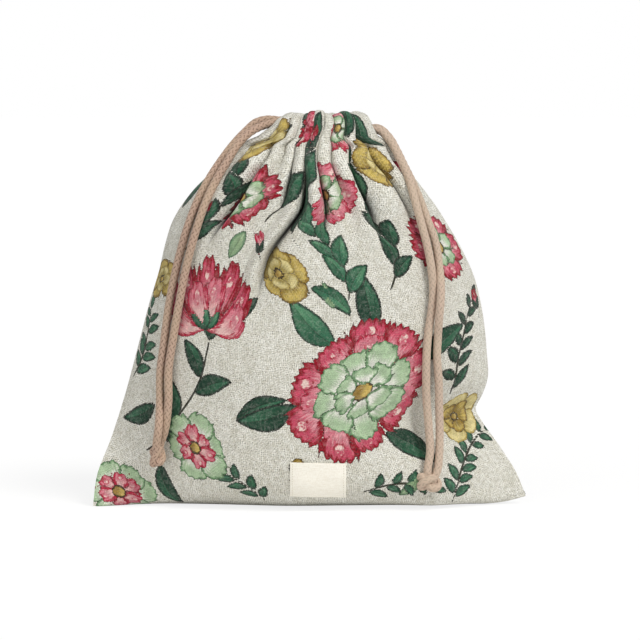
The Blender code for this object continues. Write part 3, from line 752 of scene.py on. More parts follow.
        set_finish(g, shader, Base_Color=colour, Roughness=0.92, Specular_IOR_Level=0.22, Sheen_Weight=0.06,
                   Sheen_Roughness=0.6, Normal=g.bump(height, 0.0005, 0.7))
        return material


@dataclass(frozen=True)
class BraidedCotton:
    """Soft cotton cord. The relief attribute says how deep in the braid a point lies."""

    # The yarns' colour on top; the low colour in the braid's gaps is painted shade
    high: tuple = (190, 162, 144)
    low: tuple = (98, 76, 64)
    fibre: tuple = (160, 134, 116)
    worn: tuple = (186, 168, 140)
    paler: tuple = (216, 202, 184)      # what the right-hand cord is blended towards

    def build(self) -> bpy.types.Material:
        """The material, from the relief, with painted shade in the braid's gaps, and fine fibres along the
        yarns.
        """
        material, g, shader = new_material("Braided cotton")
        place = g.place()
        fibre = g.noise(g.scaled(place, (2600.0, 2600.0, 1400.0)), 1.0, 2.0, 0.6)
        # Painted shade: darker where the relief is low, in the gaps between yarns
        colour = g.mix(g.step(g.attribute("relief"), 0.12, 0.72), srgb(*self.low), srgb(*self.high))
        colour = g.mix(g.step(fibre, 0.35, 0.75, 0.0, 0.30), colour, srgb(*self.fibre))
        colour = g.mix(g.step(g.noise(place, 55.0), 0.35, 0.65, 0.0, 0.30), colour, srgb(*self.worn))
        colour = g.mix(g.step(g.split(place)[0], -0.02, 0.04, 0.0, 0.35), colour, srgb(*self.paler))
        set_finish(g, shader, Base_Color=colour, Roughness=0.88, Specular_IOR_Level=0.2, Sheen_Weight=0.12,
                   Sheen_Roughness=0.5, Normal=g.bump(fibre, 0.0003, 0.5))
        return material


@dataclass(frozen=True)
class CottonTape:
    """The label's close, smooth tape."""

    colour: tuple = (250, 247, 237)
    gap: tuple = (240, 235, 222)

    def build(self) -> bpy.types.Material:
        """The material: a fine even weave with a little grey in its gaps."""
        material, g, shader = new_material("Cotton tape")
        place = g.place()
        weft = g.noise(g.scaled(place, (260.0, 260.0, 2400.0)), 1.0, 2.0, 0.6)
        warp = g.noise(g.scaled(place, (2400.0, 2400.0, 260.0)), 1.0, 2.0, 0.6)
        weave = g.math("MULTIPLY", weft, warp)
        colour = g.mix(g.step(weave, 0.14, 0.34), srgb(*self.gap), srgb(*self.colour))
        set_finish(g, shader, Base_Color=colour, Roughness=0.8, Specular_IOR_Level=0.25,
                   Normal=g.bump(weave, 0.0002, 0.35))
        return material


@dataclass(frozen=True)
class SewingThread:
    """Spun thread of one colour."""

    colour: tuple
    name: str

    def build(self) -> bpy.types.Material:
        """The material: the colour with fine dark twist marks."""
        material, g, shader = new_material(self.name)
        twist = g.step(g.noise(g.place(), 2500.0, 2.0, 0.6), 0.4, 0.7)
        darker = tuple(0.72 * part for part in self.colour)
        set_finish(g, shader, Base_Color=g.mix(twist, srgb(*self.colour), srgb(*darker)), Roughness=0.7,
                   Specular_IOR_Level=0.3)
        return material


# Sizes of the cloth in metres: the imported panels' outline, with a neck that flares a little more, finer
# pleats, dents, and a bottom edge that is drawn forward in two places
CLOTH = 0.0010
PANEL_RUN = 0.290
SEAM_GAP = 0.0004
FLOOR_DEPTH = 0.035
EDGE_ROUND = 0.009
EAR_RUN = 0.004
LEFT_EDGE = ((0.000, -0.1355), (0.020, -0.1328), (0.040, -0.1250), (0.068, -0.1157),
             (0.098, -0.1075), (0.128, -0.0995), (0.146, -0.0940), (0.163, -0.0900),
             (0.178, -0.0850), (0.190, -0.0775), (0.200, -0.0690), (0.208, -0.0596),
             (0.214, -0.0530), (0.220, -0.0466), (0.226, -0.0408), (0.231, -0.0346),
             (0.2375, -0.0262), (0.260, -0.0262))
RIGHT_EDGE = ((0.000, 0.1350), (0.020, 0.1270), (0.040, 0.1150), (0.051, 0.1075),
              (0.060, 0.1030), (0.068, 0.1065), (0.078, 0.1100), (0.096, 0.1095),
              (0.123, 0.1063), (0.143, 0.1013), (0.160, 0.0935), (0.178, 0.0830),
              (0.190, 0.0750), (0.200, 0.0660), (0.208, 0.0580), (0.214, 0.0530),
              (0.220, 0.0498), (0.226, 0.0470), (0.231, 0.0450), (0.2375, 0.0412),
              (0.260, 0.0412))
HALF_DEPTH = ((0.000, FLOOR_DEPTH), (0.020, 0.045), (0.060, 0.053), (0.100, 0.056), (0.140, 0.055),
              (0.160, 0.053), (0.178, 0.050), (0.190, 0.047), (0.200, 0.0435), (0.208, 0.040),
              (0.214, 0.037), (0.220, 0.033), (0.226, 0.0275), (0.231, 0.0240), (0.2375, 0.0215),
              (0.260, 0.0215))
POINTEDNESS = ((0.000, 2.5), (0.030, 2.2), (0.060, 1.8), (0.100, 1.4), (0.140, 1.15), (0.180, 1.0),
               (0.260, 1.0))
FLAT_WIDTH = 0.270
NECK_TOP = 0.2375
RING_X = 0.0075
RING_HALF_WIDTH = 0.0262
RING_HALF_DEPTH = 0.014
RING_REACH = 0.031          # the cords lie inside the casing as far as this from RING_X
CREST = 0.2440
STITCH_HEIGHT = 0.2245
CASING_OUTSIDE = 0.0075
CASING_INSIDE = 0.0064
STITCH_INSET = 0.0035
END_OPENING = math.radians(26.0)
OPENING_FULL = 0.2310
CASING_ROWS = ((NECK_TOP, CASING_OUTSIDE, 1.0), (CREST - 0.0022, 0.66 * CASING_OUTSIDE, 0.8),
               (CREST, 0.0, 0.6), (CREST - 0.0022, -0.70 * CASING_INSIDE, 0.45),
               (NECK_TOP, -CASING_INSIDE, 0.45), (0.2300, -CASING_INSIDE, 0.45),
               (0.2268, -0.35 * CASING_INSIDE, 0.45))
VALLEY_HEIGHTS = (0.000, 0.070, 0.120, 0.160, 0.190, 0.207, 0.222, 0.240)
FRONT_VALLEYS = (
    ((16.4, 24.0, 30.0, 26.0, 24.0, 22.0, 20.0, 20.0), 0.180, 0.7),
    ((32.7, 40.0, 46.0, 42.0, 38.0, 38.0, 44.0, 40.0), 0.172, 0.8),
    ((49.1, 56.0, 60.0, 60.0, 62.0, 63.0, 63.0, 56.0), 0.160, 1.0),
    ((65.5, 70.0, 74.0, 72.0, 72.0, 74.0, 77.0, 72.0), 0.186, 0.7),
    ((81.8, 86.0, 89.0, 86.0, 82.0, 84.0, 88.0, 88.0), 0.164, 1.0),
    ((98.2, 104.0, 111.0, 107.0, 92.5, 91.5, 95.5, 102.0), 0.115, 1.6),
    ((114.5, 116.0, 121.0, 115.0, 102.0, 100.5, 103.0, 114.0), 0.178, 1.0),
    ((130.9, 130.0, 131.0, 125.0, 113.0, 111.0, 112.0, 126.0), 0.204, 0.6),
    ((147.3, 143.0, 142.0, 137.0, 125.0, 123.0, 122.0, 138.0), 0.158, 1.35),
    ((163.6, 160.0, 157.0, 154.0, 151.0, 150.0, 150.0, 160.0), 0.186, 0.9))
BACK_VALLEYS = (
    ((16.4, 20.0, 24.0, 22.0, 20.0, 19.0, 18.0, 18.0), 0.182, 0.9),
    ((32.7, 34.0, 37.0, 35.0, 33.0, 33.0, 34.0, 35.0), 0.166, 1.0),
    ((49.1, 50.0, 51.0, 49.0, 48.0, 49.0, 51.0, 51.0), 0.186, 0.8),
    ((65.5, 64.0, 62.0, 63.0, 65.0, 66.0, 67.0, 67.0), 0.140, 1.2),
    ((81.8, 80.0, 78.0, 79.0, 81.0, 82.0, 82.0, 82.0), 0.172, 0.9),
    ((98.2, 98.0, 97.0, 97.0, 97.0, 97.0, 97.0, 97.0), 0.158, 1.0),
    ((114.5, 116.0, 118.0, 116.0, 113.0, 112.0, 111.0, 111.0), 0.128, 1.2),
    ((130.9, 132.0, 134.0, 132.0, 128.0, 127.0, 126.0, 126.0), 0.180, 0.8),
    ((147.3, 147.0, 147.0, 146.0, 144.0, 143.0, 142.0, 142.0), 0.170, 1.0),
    ((163.6, 163.0, 161.0, 161.0, 161.0, 160.0, 160.0, 160.0), 0.188, 0.9))
PLEAT_DEPTH = ((0.000, 0.0024), (0.120, 0.0024), (0.150, 0.0044), (0.170, 0.0066), (0.190, 0.0086),
               (0.207, 0.0088), (0.222, 0.0068), (0.231, 0.0052), (0.260, 0.0046))
FADE_RUN = 0.035
FRONT_DENTS = ((-0.088, 0.150, 0.012, 0.050, 0.0030), (-0.070, 0.135, 0.014, 0.045, -0.0015),
               (-0.100, 0.035, 0.022, 0.022, 0.0035), (0.092, 0.058, 0.026, 0.014, 0.0040),
               (0.062, 0.020, 0.024, 0.018, -0.0025), (0.066, 0.075, 0.012, 0.045, 0.0022),
               (-0.030, 0.075, 0.040, 0.040, -0.0022), (0.020, 0.110, 0.035, 0.030, 0.0025),
               (0.030, 0.040, 0.035, 0.020, 0.0020), (-0.004, 0.197, 0.006, 0.013, 0.0050),
               (0.0235, 0.186, 0.0055, 0.020, 0.0028), (0.0665, 0.047, 0.0032, 0.017, 0.0016),
               (0.0725, 0.044, 0.0030, 0.017, 0.0014), (-0.040, 0.196, 0.010, 0.016, 0.0030))
BACK_DENTS = ((-0.050, 0.120, 0.022, 0.045, 0.0035), (0.045, 0.090, 0.028, 0.040, 0.0030),
              (0.092, 0.058, 0.026, 0.014, 0.0040), (-0.060, 0.045, 0.030, 0.020, 0.0030),
              (0.000, 0.060, 0.040, 0.030, -0.0025))
FRONT_LIFT = ((-0.140, 0.0), (-0.100, 0.0), (-0.082, 0.0012), (-0.050, 0.0028), (-0.015, 0.0018),
              (0.018, 0.0028), (0.045, 0.0018), (0.075, 0.0), (0.140, 0.0))
LIFT_RUN = 0.014
EAR_LIFT = ((-0.140, 0.0), (0.000, 0.0), (0.098, 0.0), (0.108, 0.0), (0.122, 0.0014), (0.135, 0.0045),
            (0.140, 0.0050))
FULL_SHADE_DEPTH = 0.0046           # depth of a valley whose painted shade is full
LOW_HEIGHT = 0.055              # the bottom is drawn forward below this
CORNER_FORWARD = 0.013          # how far the left corner is
CORNER_REACH = (0.096, 0.138)   # left of the middle, from where that starts to where it is full
BULGE_X, BULGE_WIDE, BULGE_FORWARD = 0.080, 0.024, 0.011    # the front's patch right of the middle
CREST_RUFFLE = 0.0014
FRONT_CREST_DROP, BACK_CREST_DROP = 0.0006, 0.0016
CORD_ROOM = 0.0028              # radius of the tube that keeps the cloth behind a cord


@dataclass
class ClothPanel:
    """One gathered panel: its sizes, its fine grid of points and its finished piece."""

    side: int                       # -1 for the front, +1 for the back
    valleys: tuple
    dents: tuple
    seed: int
    columns_per_pleat: int = 19
    floor_rows: int = 22
    row_step: float = 0.00138
    casing_rows: int = 20
    hem_rows: int = 3
    thickness: float = 0.0008
    overhang: float = 0.0010        # how far a pleat's flank leans over its valley
    ridge_spread: float = 0.0009    # how much the ridges differ in height
    points: Array = field(init=False)
    run: Array = field(init=False)
    painted_valley_shade: Array = field(init=False)
    stitch_row: int = field(init=False)

    @property
    def name(self) -> str:
        """The piece's name."""
        return "front_cloth" if self.side < 0 else "back_cloth"

    def lines(self, height: Array) -> Array:
        """Angles of the seams and valleys at each height, as rows of (0, valleys, pi)."""
        inner = [smooth(tuple(zip(VALLEY_HEIGHTS, angles)), height) for angles, _, _ in self.valleys]
        degrees = [np.zeros_like(height), *inner, np.full_like(height, 180.0)]
        return np.radians(np.stack(degrees, axis=1))

    @staticmethod
    def between(table: Array, phase: Array) -> Array:
        """Values of a (rows, lines) table at fractional line numbers, the same for each row."""
        i = np.clip(phase.astype(int), 0, table.shape[1] - 2)
        share = phase - i
        return table[:, i] * (1 - share) + table[:, i + 1] * share

    def pleats(self, phase: Array, height: Array) -> tuple[Array, Array]:
        """The pleats' wave out of the cloth and along it.

        Outwards it is 2|sin(pi phase)|^e - 1 times the valley's faded depth, with e falling towards the
        neck so that ridges are round and valleys narrow. Along the cloth it is a sine that leans each
        flank over its valley.
        """
        depth = [share * ramp(end, end + FADE_RUN, height) for _, end, share in self.valleys]
        depth = np.stack([np.zeros_like(height), *depth, np.zeros_like(height)], axis=1)
        here = self.between(depth, phase)
        sharpness = (0.85 - 0.22 * ramp(0.175, 0.215, height))[:, None]
        swing = np.abs(np.sin(math.pi * phase))[None, :]
        wave = here * (2.0 * swing ** sharpness - 1.0)
        draw = np.random.default_rng(self.seed)
        ridge = draw.uniform(-1, 1, len(self.valleys) + 1)[np.clip(phase.astype(int), 0, len(self.valleys))]
        grown = ramp(0.165, 0.215, height)[:, None]
        uneven = self.ridge_spread * ridge[None, :] * swing ** 2 * grown
        lean = self.overhang * here * grown * np.sin(2 * math.pi * phase)[None, :]
        amplitude = smooth(PLEAT_DEPTH, height)[:, None]
        return amplitude * wave + uneven, lean

    def wrinkles(self, x: Array, z: Array) -> Array:
        """Small soft folds all over: crumples of three sizes, finer and stretched upwards near the neck."""
        broad = 0.0011 * crumple(x, z, 0.034, self.seed + 1)
        middling = 0.00055 * crumple(x + 0.3 * z, z, 0.015, self.seed + 2)
        fine = 0.00016 * crumple(x, z, 0.0062, self.seed + 3)
        upright = 0.0007 * crumple(4 * x, z, 0.030, self.seed + 4) * ramp(0.120, 0.200, z)
        return (broad + middling + fine + upright) * ramp(0.0, 0.02, z) * (1 - ramp(0.222, 0.232, z))

    def outside(self, phase: Array, height: Array, floor_share: Array) -> Array:
        """Points of rows on the outside, each at a height or, where `floor_share` is below 1, on the floor.

        The cloth runs in along the floor to the bottom edge and turns up there on a rounded corner. At a
        height it lies on a lens between the side outlines, half_depth * sin(angle)^pointedness deep,
        moved along its normal by the pleats, the dents and the wrinkles. Low down its left corner is
        drawn forward, and on the front a patch right of the middle too.
        """
        angle = self.between(self.lines(height), phase)
        opening = (END_OPENING * ramp(STITCH_HEIGHT, OPENING_FULL, height))[:, None]
        angle = opening + angle * (1 - 2 * opening / math.pi)
        floor_run = FLOOR_DEPTH * np.sin(angle) ** POINTEDNESS[0][1]
        roundness = np.minimum(EDGE_ROUND, 0.6 * floor_run + 0.001)
        rise_rate = (CREST - 0.0005 - CLOTH / 2) / (PANEL_RUN - floor_run)
        on_floor = (floor_share < 1.0)[:, None]
        run = np.where(on_floor, floor_share[:, None] * np.hypot(floor_run, EAR_RUN),
                       floor_run + (height[:, None] - CLOTH / 2) / rise_rate)
        past_edge = run - floor_run
        z = CLOTH / 2 + rise_rate * (soft_step(past_edge, roundness) - soft_step(-floor_run, roundness))
        turned_up = 1 - soft_step(-past_edge, roundness) / soft_step(floor_run, roundness)
        left, right = smooth(LEFT_EDGE, z), smooth(RIGHT_EDGE, z)
        half_width, half_depth = (right - left) / 2, smooth(HALF_DEPTH, z)
        pointedness = smooth(POINTEDNESS, z)
        x = (left + right) / 2 + half_width * np.cos(angle)
        depth = half_depth * np.sin(angle) ** pointedness * turned_up
        seam = SEAM_GAP / 2 + CLOTH / 2 * np.clip((pointedness - 1.3) / 0.7, 0, 1)
        out, lean = self.pleats(phase, height)
        self.run = run
        # Painted shade for the linen: how deep each point lies in a pleat's valley, from the lower body up
        self.painted_valley_shade = ramp(0.0, FULL_SHADE_DEPTH, -out) * ramp(0.13, 0.18, height)[:, None]
        for dent_x, dent_z, wide, high, deep in self.dents:
            near = np.exp(-((x - dent_x) / wide) ** 2 - ((z - dent_z) / high) ** 2)
            out = out - deep * near * np.sin(angle) * ramp(0.0, 0.015, z)
        out = out + self.wrinkles(x, z) * ramp(0.0, 0.35, np.sin(angle))
        normal_x, normal_y = np.cos(angle) / half_width, np.sin(angle) / half_depth
        length = np.hypot(normal_x, normal_y)
        normal_x, normal_y = normal_x / length, normal_y / length
        x = x + out * normal_x + lean * normal_y
        depth = depth + out * normal_y - lean * normal_x
        if self.side < 0:
            z = z + np.maximum(smooth(FRONT_LIFT, x), 0) * np.exp(-(past_edge / LIFT_RUN) ** 2)
        z = z + np.maximum(smooth(EAR_LIFT, x), 0)
        y = self.side * (seam + np.maximum(depth, 0))
        low = 1 - ramp(0.0, LOW_HEIGHT, z)
        y = y - CORNER_FORWARD * ramp(*CORNER_REACH, -x) * low
        if self.side < 0:
            share = np.where(on_floor, floor_share[:, None] ** 2, 1.0)
            bulge = BULGE_FORWARD * np.exp(-((x - BULGE_X) / BULGE_WIDE) ** 2)
            y = y - bulge * low * share * np.sin(angle)
        return np.stack([x, y, z], axis=-1)

    def casing(self, phase: Array) -> Array:
        """Points of the rows over the casing: an ellipse round the cords' ring, set off by their table."""
        table = np.array(CASING_ROWS)
        spot = np.linspace(0, len(table) - 1, self.casing_rows + 1)[1:]
        height, off_ring, share = (smooth(tuple(enumerate(table[:, k])), spot) for k in range(3))
        top = np.full_like(height, NECK_TOP)
        angle = self.between(self.lines(top), phase)
        angle = END_OPENING + angle * (1 - 2 * END_OPENING / math.pi)
        out, lean = self.pleats(phase, top)
        out = out * share[:, None]
        half_width, half_depth = RING_HALF_WIDTH + off_ring[:, None], RING_HALF_DEPTH + off_ring[:, None]
        x = RING_X + (half_width + out) * np.cos(angle) + lean * np.sin(angle)
        depth = (half_depth + out) * np.sin(angle) - lean * np.cos(angle)
        near_crest = ramp(0.236, CREST, height)[:, None]
        ruffle = 0.50 * out + CREST_RUFFLE * crumple(40 * angle, 0 * angle, 9.0, self.seed + 7)
        drop = BACK_CREST_DROP if self.side > 0 else FRONT_CREST_DROP
        z = height[:, None] + near_crest * (ruffle - drop)
        return np.stack([x, self.side * depth, z], axis=-1)

    def shape(self) -> None:
        """Works out the grid of points, row by row from the bottom seam over the casing to the hem."""
        phase = np.linspace(0, len(self.valleys) + 1, self.columns_per_pleat * (len(self.valleys) + 1) + 1)
        heights = np.arange(0.002, NECK_TOP, self.row_step)
        heights = heights + (NECK_TOP - heights[-1]) * ramp(0.20, NECK_TOP, heights)
        shares = np.linspace(0.0, 0.97, self.floor_rows)
        height = np.concatenate([np.zeros(self.floor_rows), heights])
        floor_share = np.concatenate([shares, np.ones(len(heights))])
        outside = self.outside(phase, height, floor_share)
        casing = self.casing(phase)
        row = int(np.argmin(np.abs(height - STITCH_HEIGHT)))
        hem = outside[row].copy()
        middle = np.array([(LEFT_EDGE[0][1] + RIGHT_EDGE[0][1]) / 2, 0.0])
        inward = middle - hem[:, :2]
        hem[:, :2] += STITCH_INSET * inward / np.linalg.norm(inward, axis=1)[:, None]
        steps = np.linspace(0, 1, self.hem_rows + 1)[1:, None, None]
        down = casing[-1] * (1 - steps) + hem * steps
        self.points = np.concatenate([outside, casing, down])
        self.stitch_row = row

    def yield_to(self, route: Array, radius: float) -> None:
        """Presses the cloth in under a cord, so that it lies on the cloth and not in it.

        Near the cord the cloth stays behind the back of a tube of that radius: it keeps behind the
        route's depth less sqrt(radius^2 - distance^2), with a soft edge beside the tube.

        Args:
            route: (n, 3) points along the cord, closely spaced.
            radius: of the tube, with a little room.
        """
        grid = self.points
        flat = grid[..., [0, 2]].reshape(-1, 2)
        best = np.full(len(flat), 9.0)
        depth = np.zeros(len(flat))
        for start in range(0, len(flat), 4000):
            part = flat[start:start + 4000]
            apart = np.hypot(part[:, None, 0] - route[None, :, 0], part[:, None, 1] - route[None, :, 2])
            near = np.argmin(apart, axis=1)
            best[start:start + 4000] = apart[np.arange(len(part)), near]
            depth[start:start + 4000] = route[near, 1]
        behind = depth + np.sqrt(np.maximum(radius ** 2 - best ** 2, 0.0))
        share = (1 - ramp(radius, 2.0 * radius, best)) * (1 - ramp(0.222, 0.234, flat[:, 1]))
        y = grid[..., 1].reshape(-1)
        pressed = np.where(share > 0, np.maximum(y, y + share * (behind - y)), y)
        usable = y < -0.003
        grid[..., 1] = np.where(usable, pressed, y).reshape(grid.shape[:2])

    def cloth_map(self) -> Array:
        """Each point's place on the flat cloth in metres.

        Across, it is the arc length along the row, scaled so that every row is as wide as the cut panel.
        Up, it is the run that `outside` gave the row, and then the median distance between rows.
        """
        across = np.linalg.norm(np.diff(self.points, axis=1), axis=2)
        across = np.concatenate([np.zeros((len(across), 1)), np.cumsum(across, axis=1)], axis=1)
        across = (0.5 - across / across[:, -1:]) * FLAT_WIDTH
        rows = len(self.run)
        steps = np.median(np.linalg.norm(np.diff(self.points[rows - 1:], axis=0), axis=2), axis=1)
        up = np.concatenate([self.run, self.run[-1:] + np.cumsum(steps)[:, None]])
        return np.stack([across, up], axis=-1)

    def build(self, material: bpy.types.Material, art: Print) -> bpy.types.Object:
        """The finished panel, with its cloth map and the print's layers on its face corners."""
        rows, columns = self.points.shape[:2]
        faces = grid_faces(rows, columns)
        if self.side < 0:
            faces = faces[:, ::-1]
        piece = new_piece(self.name, self.points, faces, material)
        mesh = piece.data
        cloth = self.cloth_map().reshape(-1, 2)
        corners = cloth[faces]
        layer = mesh.uv_layers.new(name="cloth")
        layer.data.foreach_set("uv", corners.reshape(-1).astype(np.float32))
        mm = corners / MM
        held = art.fields(mm.mean(axis=1), mm)
        for number in range(PRINT_LAYERS):
            attribute = mesh.attributes.new(f"print_{number}", "FLOAT_COLOR", "CORNER")
            attribute.data.foreach_set("color", held[number].reshape(-1))
        # Painted shade of the pleats' valleys: the outside rows' share, and over the casing a share from the
        # neck's pleats
        over = ramp(-0.0005, 0.0040, -self.pleats(np.linspace(0, len(self.valleys) + 1, columns),
                                                  np.array([NECK_TOP]))[0])
        shade = np.concatenate([self.painted_valley_shade, np.repeat(0.8 * over, rows - len(self.painted_valley_shade), axis=0)])
        attribute = mesh.attributes.new("painted_valley_shade", "FLOAT", "POINT")
        attribute.data.foreach_set("value", shade.reshape(-1).astype(np.float32))
        solid = piece.modifiers.new("Cloth thickness", "SOLIDIFY")
        solid.thickness = self.thickness
        solid.offset = 0.0
        return piece

    def on_face(self, x: Array, z: Array) -> tuple[Array, Array]:
        """Depth of the outside at places seen from the front, and its lean (change of depth with height)."""
        first = self.floor_rows
        rows = self.points[first:first + 60]
        depth_at = np.array([np.interp(x, row[::-1, 0], row[::-1, 1]) for row in rows])
        level_at = np.array([np.interp(x, row[::-1, 0], row[::-1, 2]) for row in rows])
        depth = np.array([np.interp(z[i], level_at[:, i], depth_at[:, i]) for i in range(len(x))])
        above = np.array([np.interp(z[i] + MM, level_at[:, i], depth_at[:, i]) for i in range(len(x))])
        return depth, (above - depth) / MM


LEFT_ROUTE = (
    (-0.0929, -0.0268, 0.0402), (-0.0900, -0.0300, 0.0490), (-0.0876, -0.0322, 0.0655),
    (-0.0872, -0.0324, 0.0880), (-0.0845, -0.0332, 0.1060), (-0.0806, -0.0346, 0.1280),
    (-0.0760, -0.0358, 0.1510), (-0.0715, -0.0375, 0.1685), (-0.0654, -0.0368, 0.1871),
    (-0.0585, -0.0300, 0.2027), (-0.0514, -0.0246, 0.2146), (-0.0446, -0.0188, 0.2256),
    (-0.0366, -0.0118, 0.2332), (-0.0275, -0.0050, 0.2372), (-0.0195, -0.0043, 0.2388),
    (-0.0129, -0.0070, 0.2390), (-0.0043, -0.0121, 0.2390), (0.0075, -0.0140, 0.2390),
    (0.0193, -0.0121, 0.2390), (0.0279, -0.0070, 0.2390), (0.0310, 0.0000, 0.2390),
    (0.0279, 0.0070, 0.2390), (0.0193, 0.0121, 0.2390), (0.0075, 0.0140, 0.2390),
    (-0.0043, 0.0121, 0.2390), (-0.0129, 0.0070, 0.2390),
    (-0.0195, 0.0042, 0.2396), (-0.0272, 0.0028, 0.2402), (-0.0335, 0.0012, 0.2386),
    (-0.0402, -0.0024, 0.2330), (-0.0473, -0.0075, 0.2256), (-0.0544, -0.0138, 0.2164),
    (-0.0614, -0.0212, 0.2060), (-0.0680, -0.0268, 0.1940), (-0.0745, -0.0318, 0.1777),
    (-0.0801, -0.0306, 0.1590), (-0.0838, -0.0298, 0.1434), (-0.0869, -0.0292, 0.1278),
    (-0.0903, -0.0294, 0.1029), (-0.0926, -0.0288, 0.0850), (-0.0928, -0.0300, 0.0655),
    (-0.0938, -0.0340, 0.0490), (-0.0950, -0.0318, 0.0404))
RIGHT_ROUTE = (
    (0.0722, -0.0362, 0.0244), (0.0737, -0.0350, 0.0370), (0.0729, -0.0345, 0.0510),
    (0.0715, -0.0362, 0.0680), (0.0710, -0.0394, 0.0850), (0.0713, -0.0408, 0.1000),
    (0.0723, -0.0410, 0.1120), (0.0744, -0.0404, 0.1260), (0.0752, -0.0398, 0.1372),
    (0.0742, -0.0396, 0.1497), (0.0713, -0.0374, 0.1653), (0.0671, -0.0347, 0.1808),
    (0.0628, -0.0308, 0.1964), (0.0602, -0.0255, 0.2055), (0.0552, -0.0175, 0.2165),
    (0.0490, -0.0098, 0.2276), (0.0426, -0.0052, 0.2336), (0.0350, -0.0050, 0.2340),
    (0.0279, -0.0070, 0.2334), (0.0193, -0.0121, 0.2334), (0.0075, -0.0140, 0.2334),
    (-0.0043, -0.0121, 0.2334), (-0.0129, -0.0070, 0.2334), (-0.0160, 0.0000, 0.2334),
    (-0.0129, 0.0070, 0.2334), (-0.0043, 0.0121, 0.2334), (0.0075, 0.0140, 0.2334),
    (0.0193, 0.0121, 0.2334), (0.0279, 0.0070, 0.2334),
    (0.0350, 0.0050, 0.2344), (0.0426, 0.0022, 0.2346), (0.0488, -0.0014, 0.2292),
    (0.0537, -0.0064, 0.2208), (0.0578, -0.0126, 0.2124), (0.0617, -0.0190, 0.2046),
    (0.0658, -0.0246, 0.1955), (0.0714, -0.0318, 0.1808), (0.0768, -0.0338, 0.1653),
    (0.0791, -0.0370, 0.1497), (0.0799, -0.0425, 0.1372), (0.0794, -0.0442, 0.1278),
    (0.0787, -0.0435, 0.1200), (0.0781, -0.0400, 0.1090), (0.0777, -0.0386, 0.0967),
    (0.0788, -0.0368, 0.0811), (0.0792, -0.0342, 0.0655), (0.0796, -0.0326, 0.0480),
    (0.0794, -0.0334, 0.0370), (0.0776, -0.0357, 0.0240))


def distance_along(points: Array) -> Array:
    """Distance of each point from the first, along the line through them."""
    return np.concatenate([[0.0], np.cumsum(np.linalg.norm(np.diff(points, axis=0), axis=1))])


def evenly(points: Array, step: float) -> Array:
    """Points about a step apart along a smooth curve through the given ones."""
    points = np.asarray(points, float)
    along = distance_along(points)
    fine = np.linspace(0, along[-1], 12 * len(points))
    curve = np.stack([smooth(tuple(zip(along, points[:, k])), fine) for k in range(3)], axis=1)
    along = distance_along(curve)
    places = np.linspace(0, along[-1], max(4, round(along[-1] / step)))
    return np.stack([np.interp(places, along, curve[:, k]) for k in range(3)], axis=1)


@dataclass
class Braid:
    """A round braid carried along a path: crossing yarns in relief on a tube."""

    path: Array
    radius: float = 0.00245
    yarns: int = 5                  # in each direction
    pitch: float = 0.0021           # from one yarn to the next along the cord
    relief: float = 0.00032
    around: int = 32
    taper: float = 0.0              # share of the radius lost at the two ends

    def frames(self) -> tuple[Array, Array, Array]:
        """Directions along the path and two across it, turned as little as possible from ring to ring."""
        ahead = np.gradient(self.path, axis=0)
        ahead /= np.linalg.norm(ahead, axis=1)[:, None]
        first = np.cross(ahead[0], (0.31, 0.87, 0.38))
        sides = np.zeros_like(ahead)
        for i, direction in enumerate(ahead):
            first = first - direction * (first @ direction)
            first = first / np.linalg.norm(first)
            sides[i] = first
        return ahead, sides, np.cross(ahead, sides)

    def surface(self) -> tuple[Array, Array]:
        """Points round the path and their relief.

        Two families of yarns wind opposite ways. Each is a rounded ridge |cos|^0.8 of its own winding
        angle, and the one on top changes with every crossing by the sign of cos A cos B.

        Returns:
            (rings, around, 3) points, and the relief from 0 in a gap to 1 on a yarn.
        """
        _, first, second = self.frames()
        along = distance_along(self.path)[:, None]
        turn = np.linspace(0, 2 * math.pi, self.around, endpoint=False)[None, :]
        wind = self.yarns * turn / 2
        left, right = wind + math.pi * along / self.pitch / 2, wind - math.pi * along / self.pitch / 2
        over = 0.5 + 0.5 * np.tanh(3.0 * np.sin(left) * np.sin(right))
        high = over * np.abs(np.cos(left)) ** 0.8 + (1 - over) * np.abs(np.cos(right)) ** 0.8
        share = np.linspace(0, 1, len(self.path))[:, None]
        narrowed = 1 - self.taper * (1 - ramp(0.0, 0.08, share) * (1 - ramp(0.92, 1.0, share)))
        reach = (self.radius * narrowed + self.relief * (high - 0.6))[..., None]
        points = (self.path[:, None, :] + reach * np.cos(turn)[..., None] * first[:, None, :]
                  + reach * np.sin(turn)[..., None] * second[:, None, :])
        return points, high

    def build(self, name: str, material: bpy.types.Material) -> bpy.types.Object:
        """The tube with rounded closed ends and the relief as an attribute."""
        points, high = self.surface()
        around = high.shape[1]
        ahead = self.frames()[0]
        caps, cap_high = [], []
        for end, way in ((0, -1.0), (-1, 1.0)):
            middle = self.path[end]
            for shrink, push in ((0.8, 0.45), (0.4, 0.7)):
                caps.append(middle + (points[end] - middle) * shrink + way * push * self.radius * ahead[end])
                cap_high.append(high[end] * shrink)
        order = [caps[1], caps[0], *points, caps[2], caps[3]]
        relief = np.concatenate([cap_high[1], cap_high[0], high.reshape(-1), cap_high[2], cap_high[3]])
        grid = np.array(order)
        faces = grid_faces(len(order), around, closed=True).tolist()
        last = (len(order) - 1) * around
        faces += [list(range(around))[::-1], [last + i for i in range(around)]]
        piece = new_piece(name, grid, faces, material)
        attribute = piece.data.attributes.new("relief", "FLOAT", "POINT")
        attribute.data.foreach_set("value", relief.astype(np.float32))
        return piece


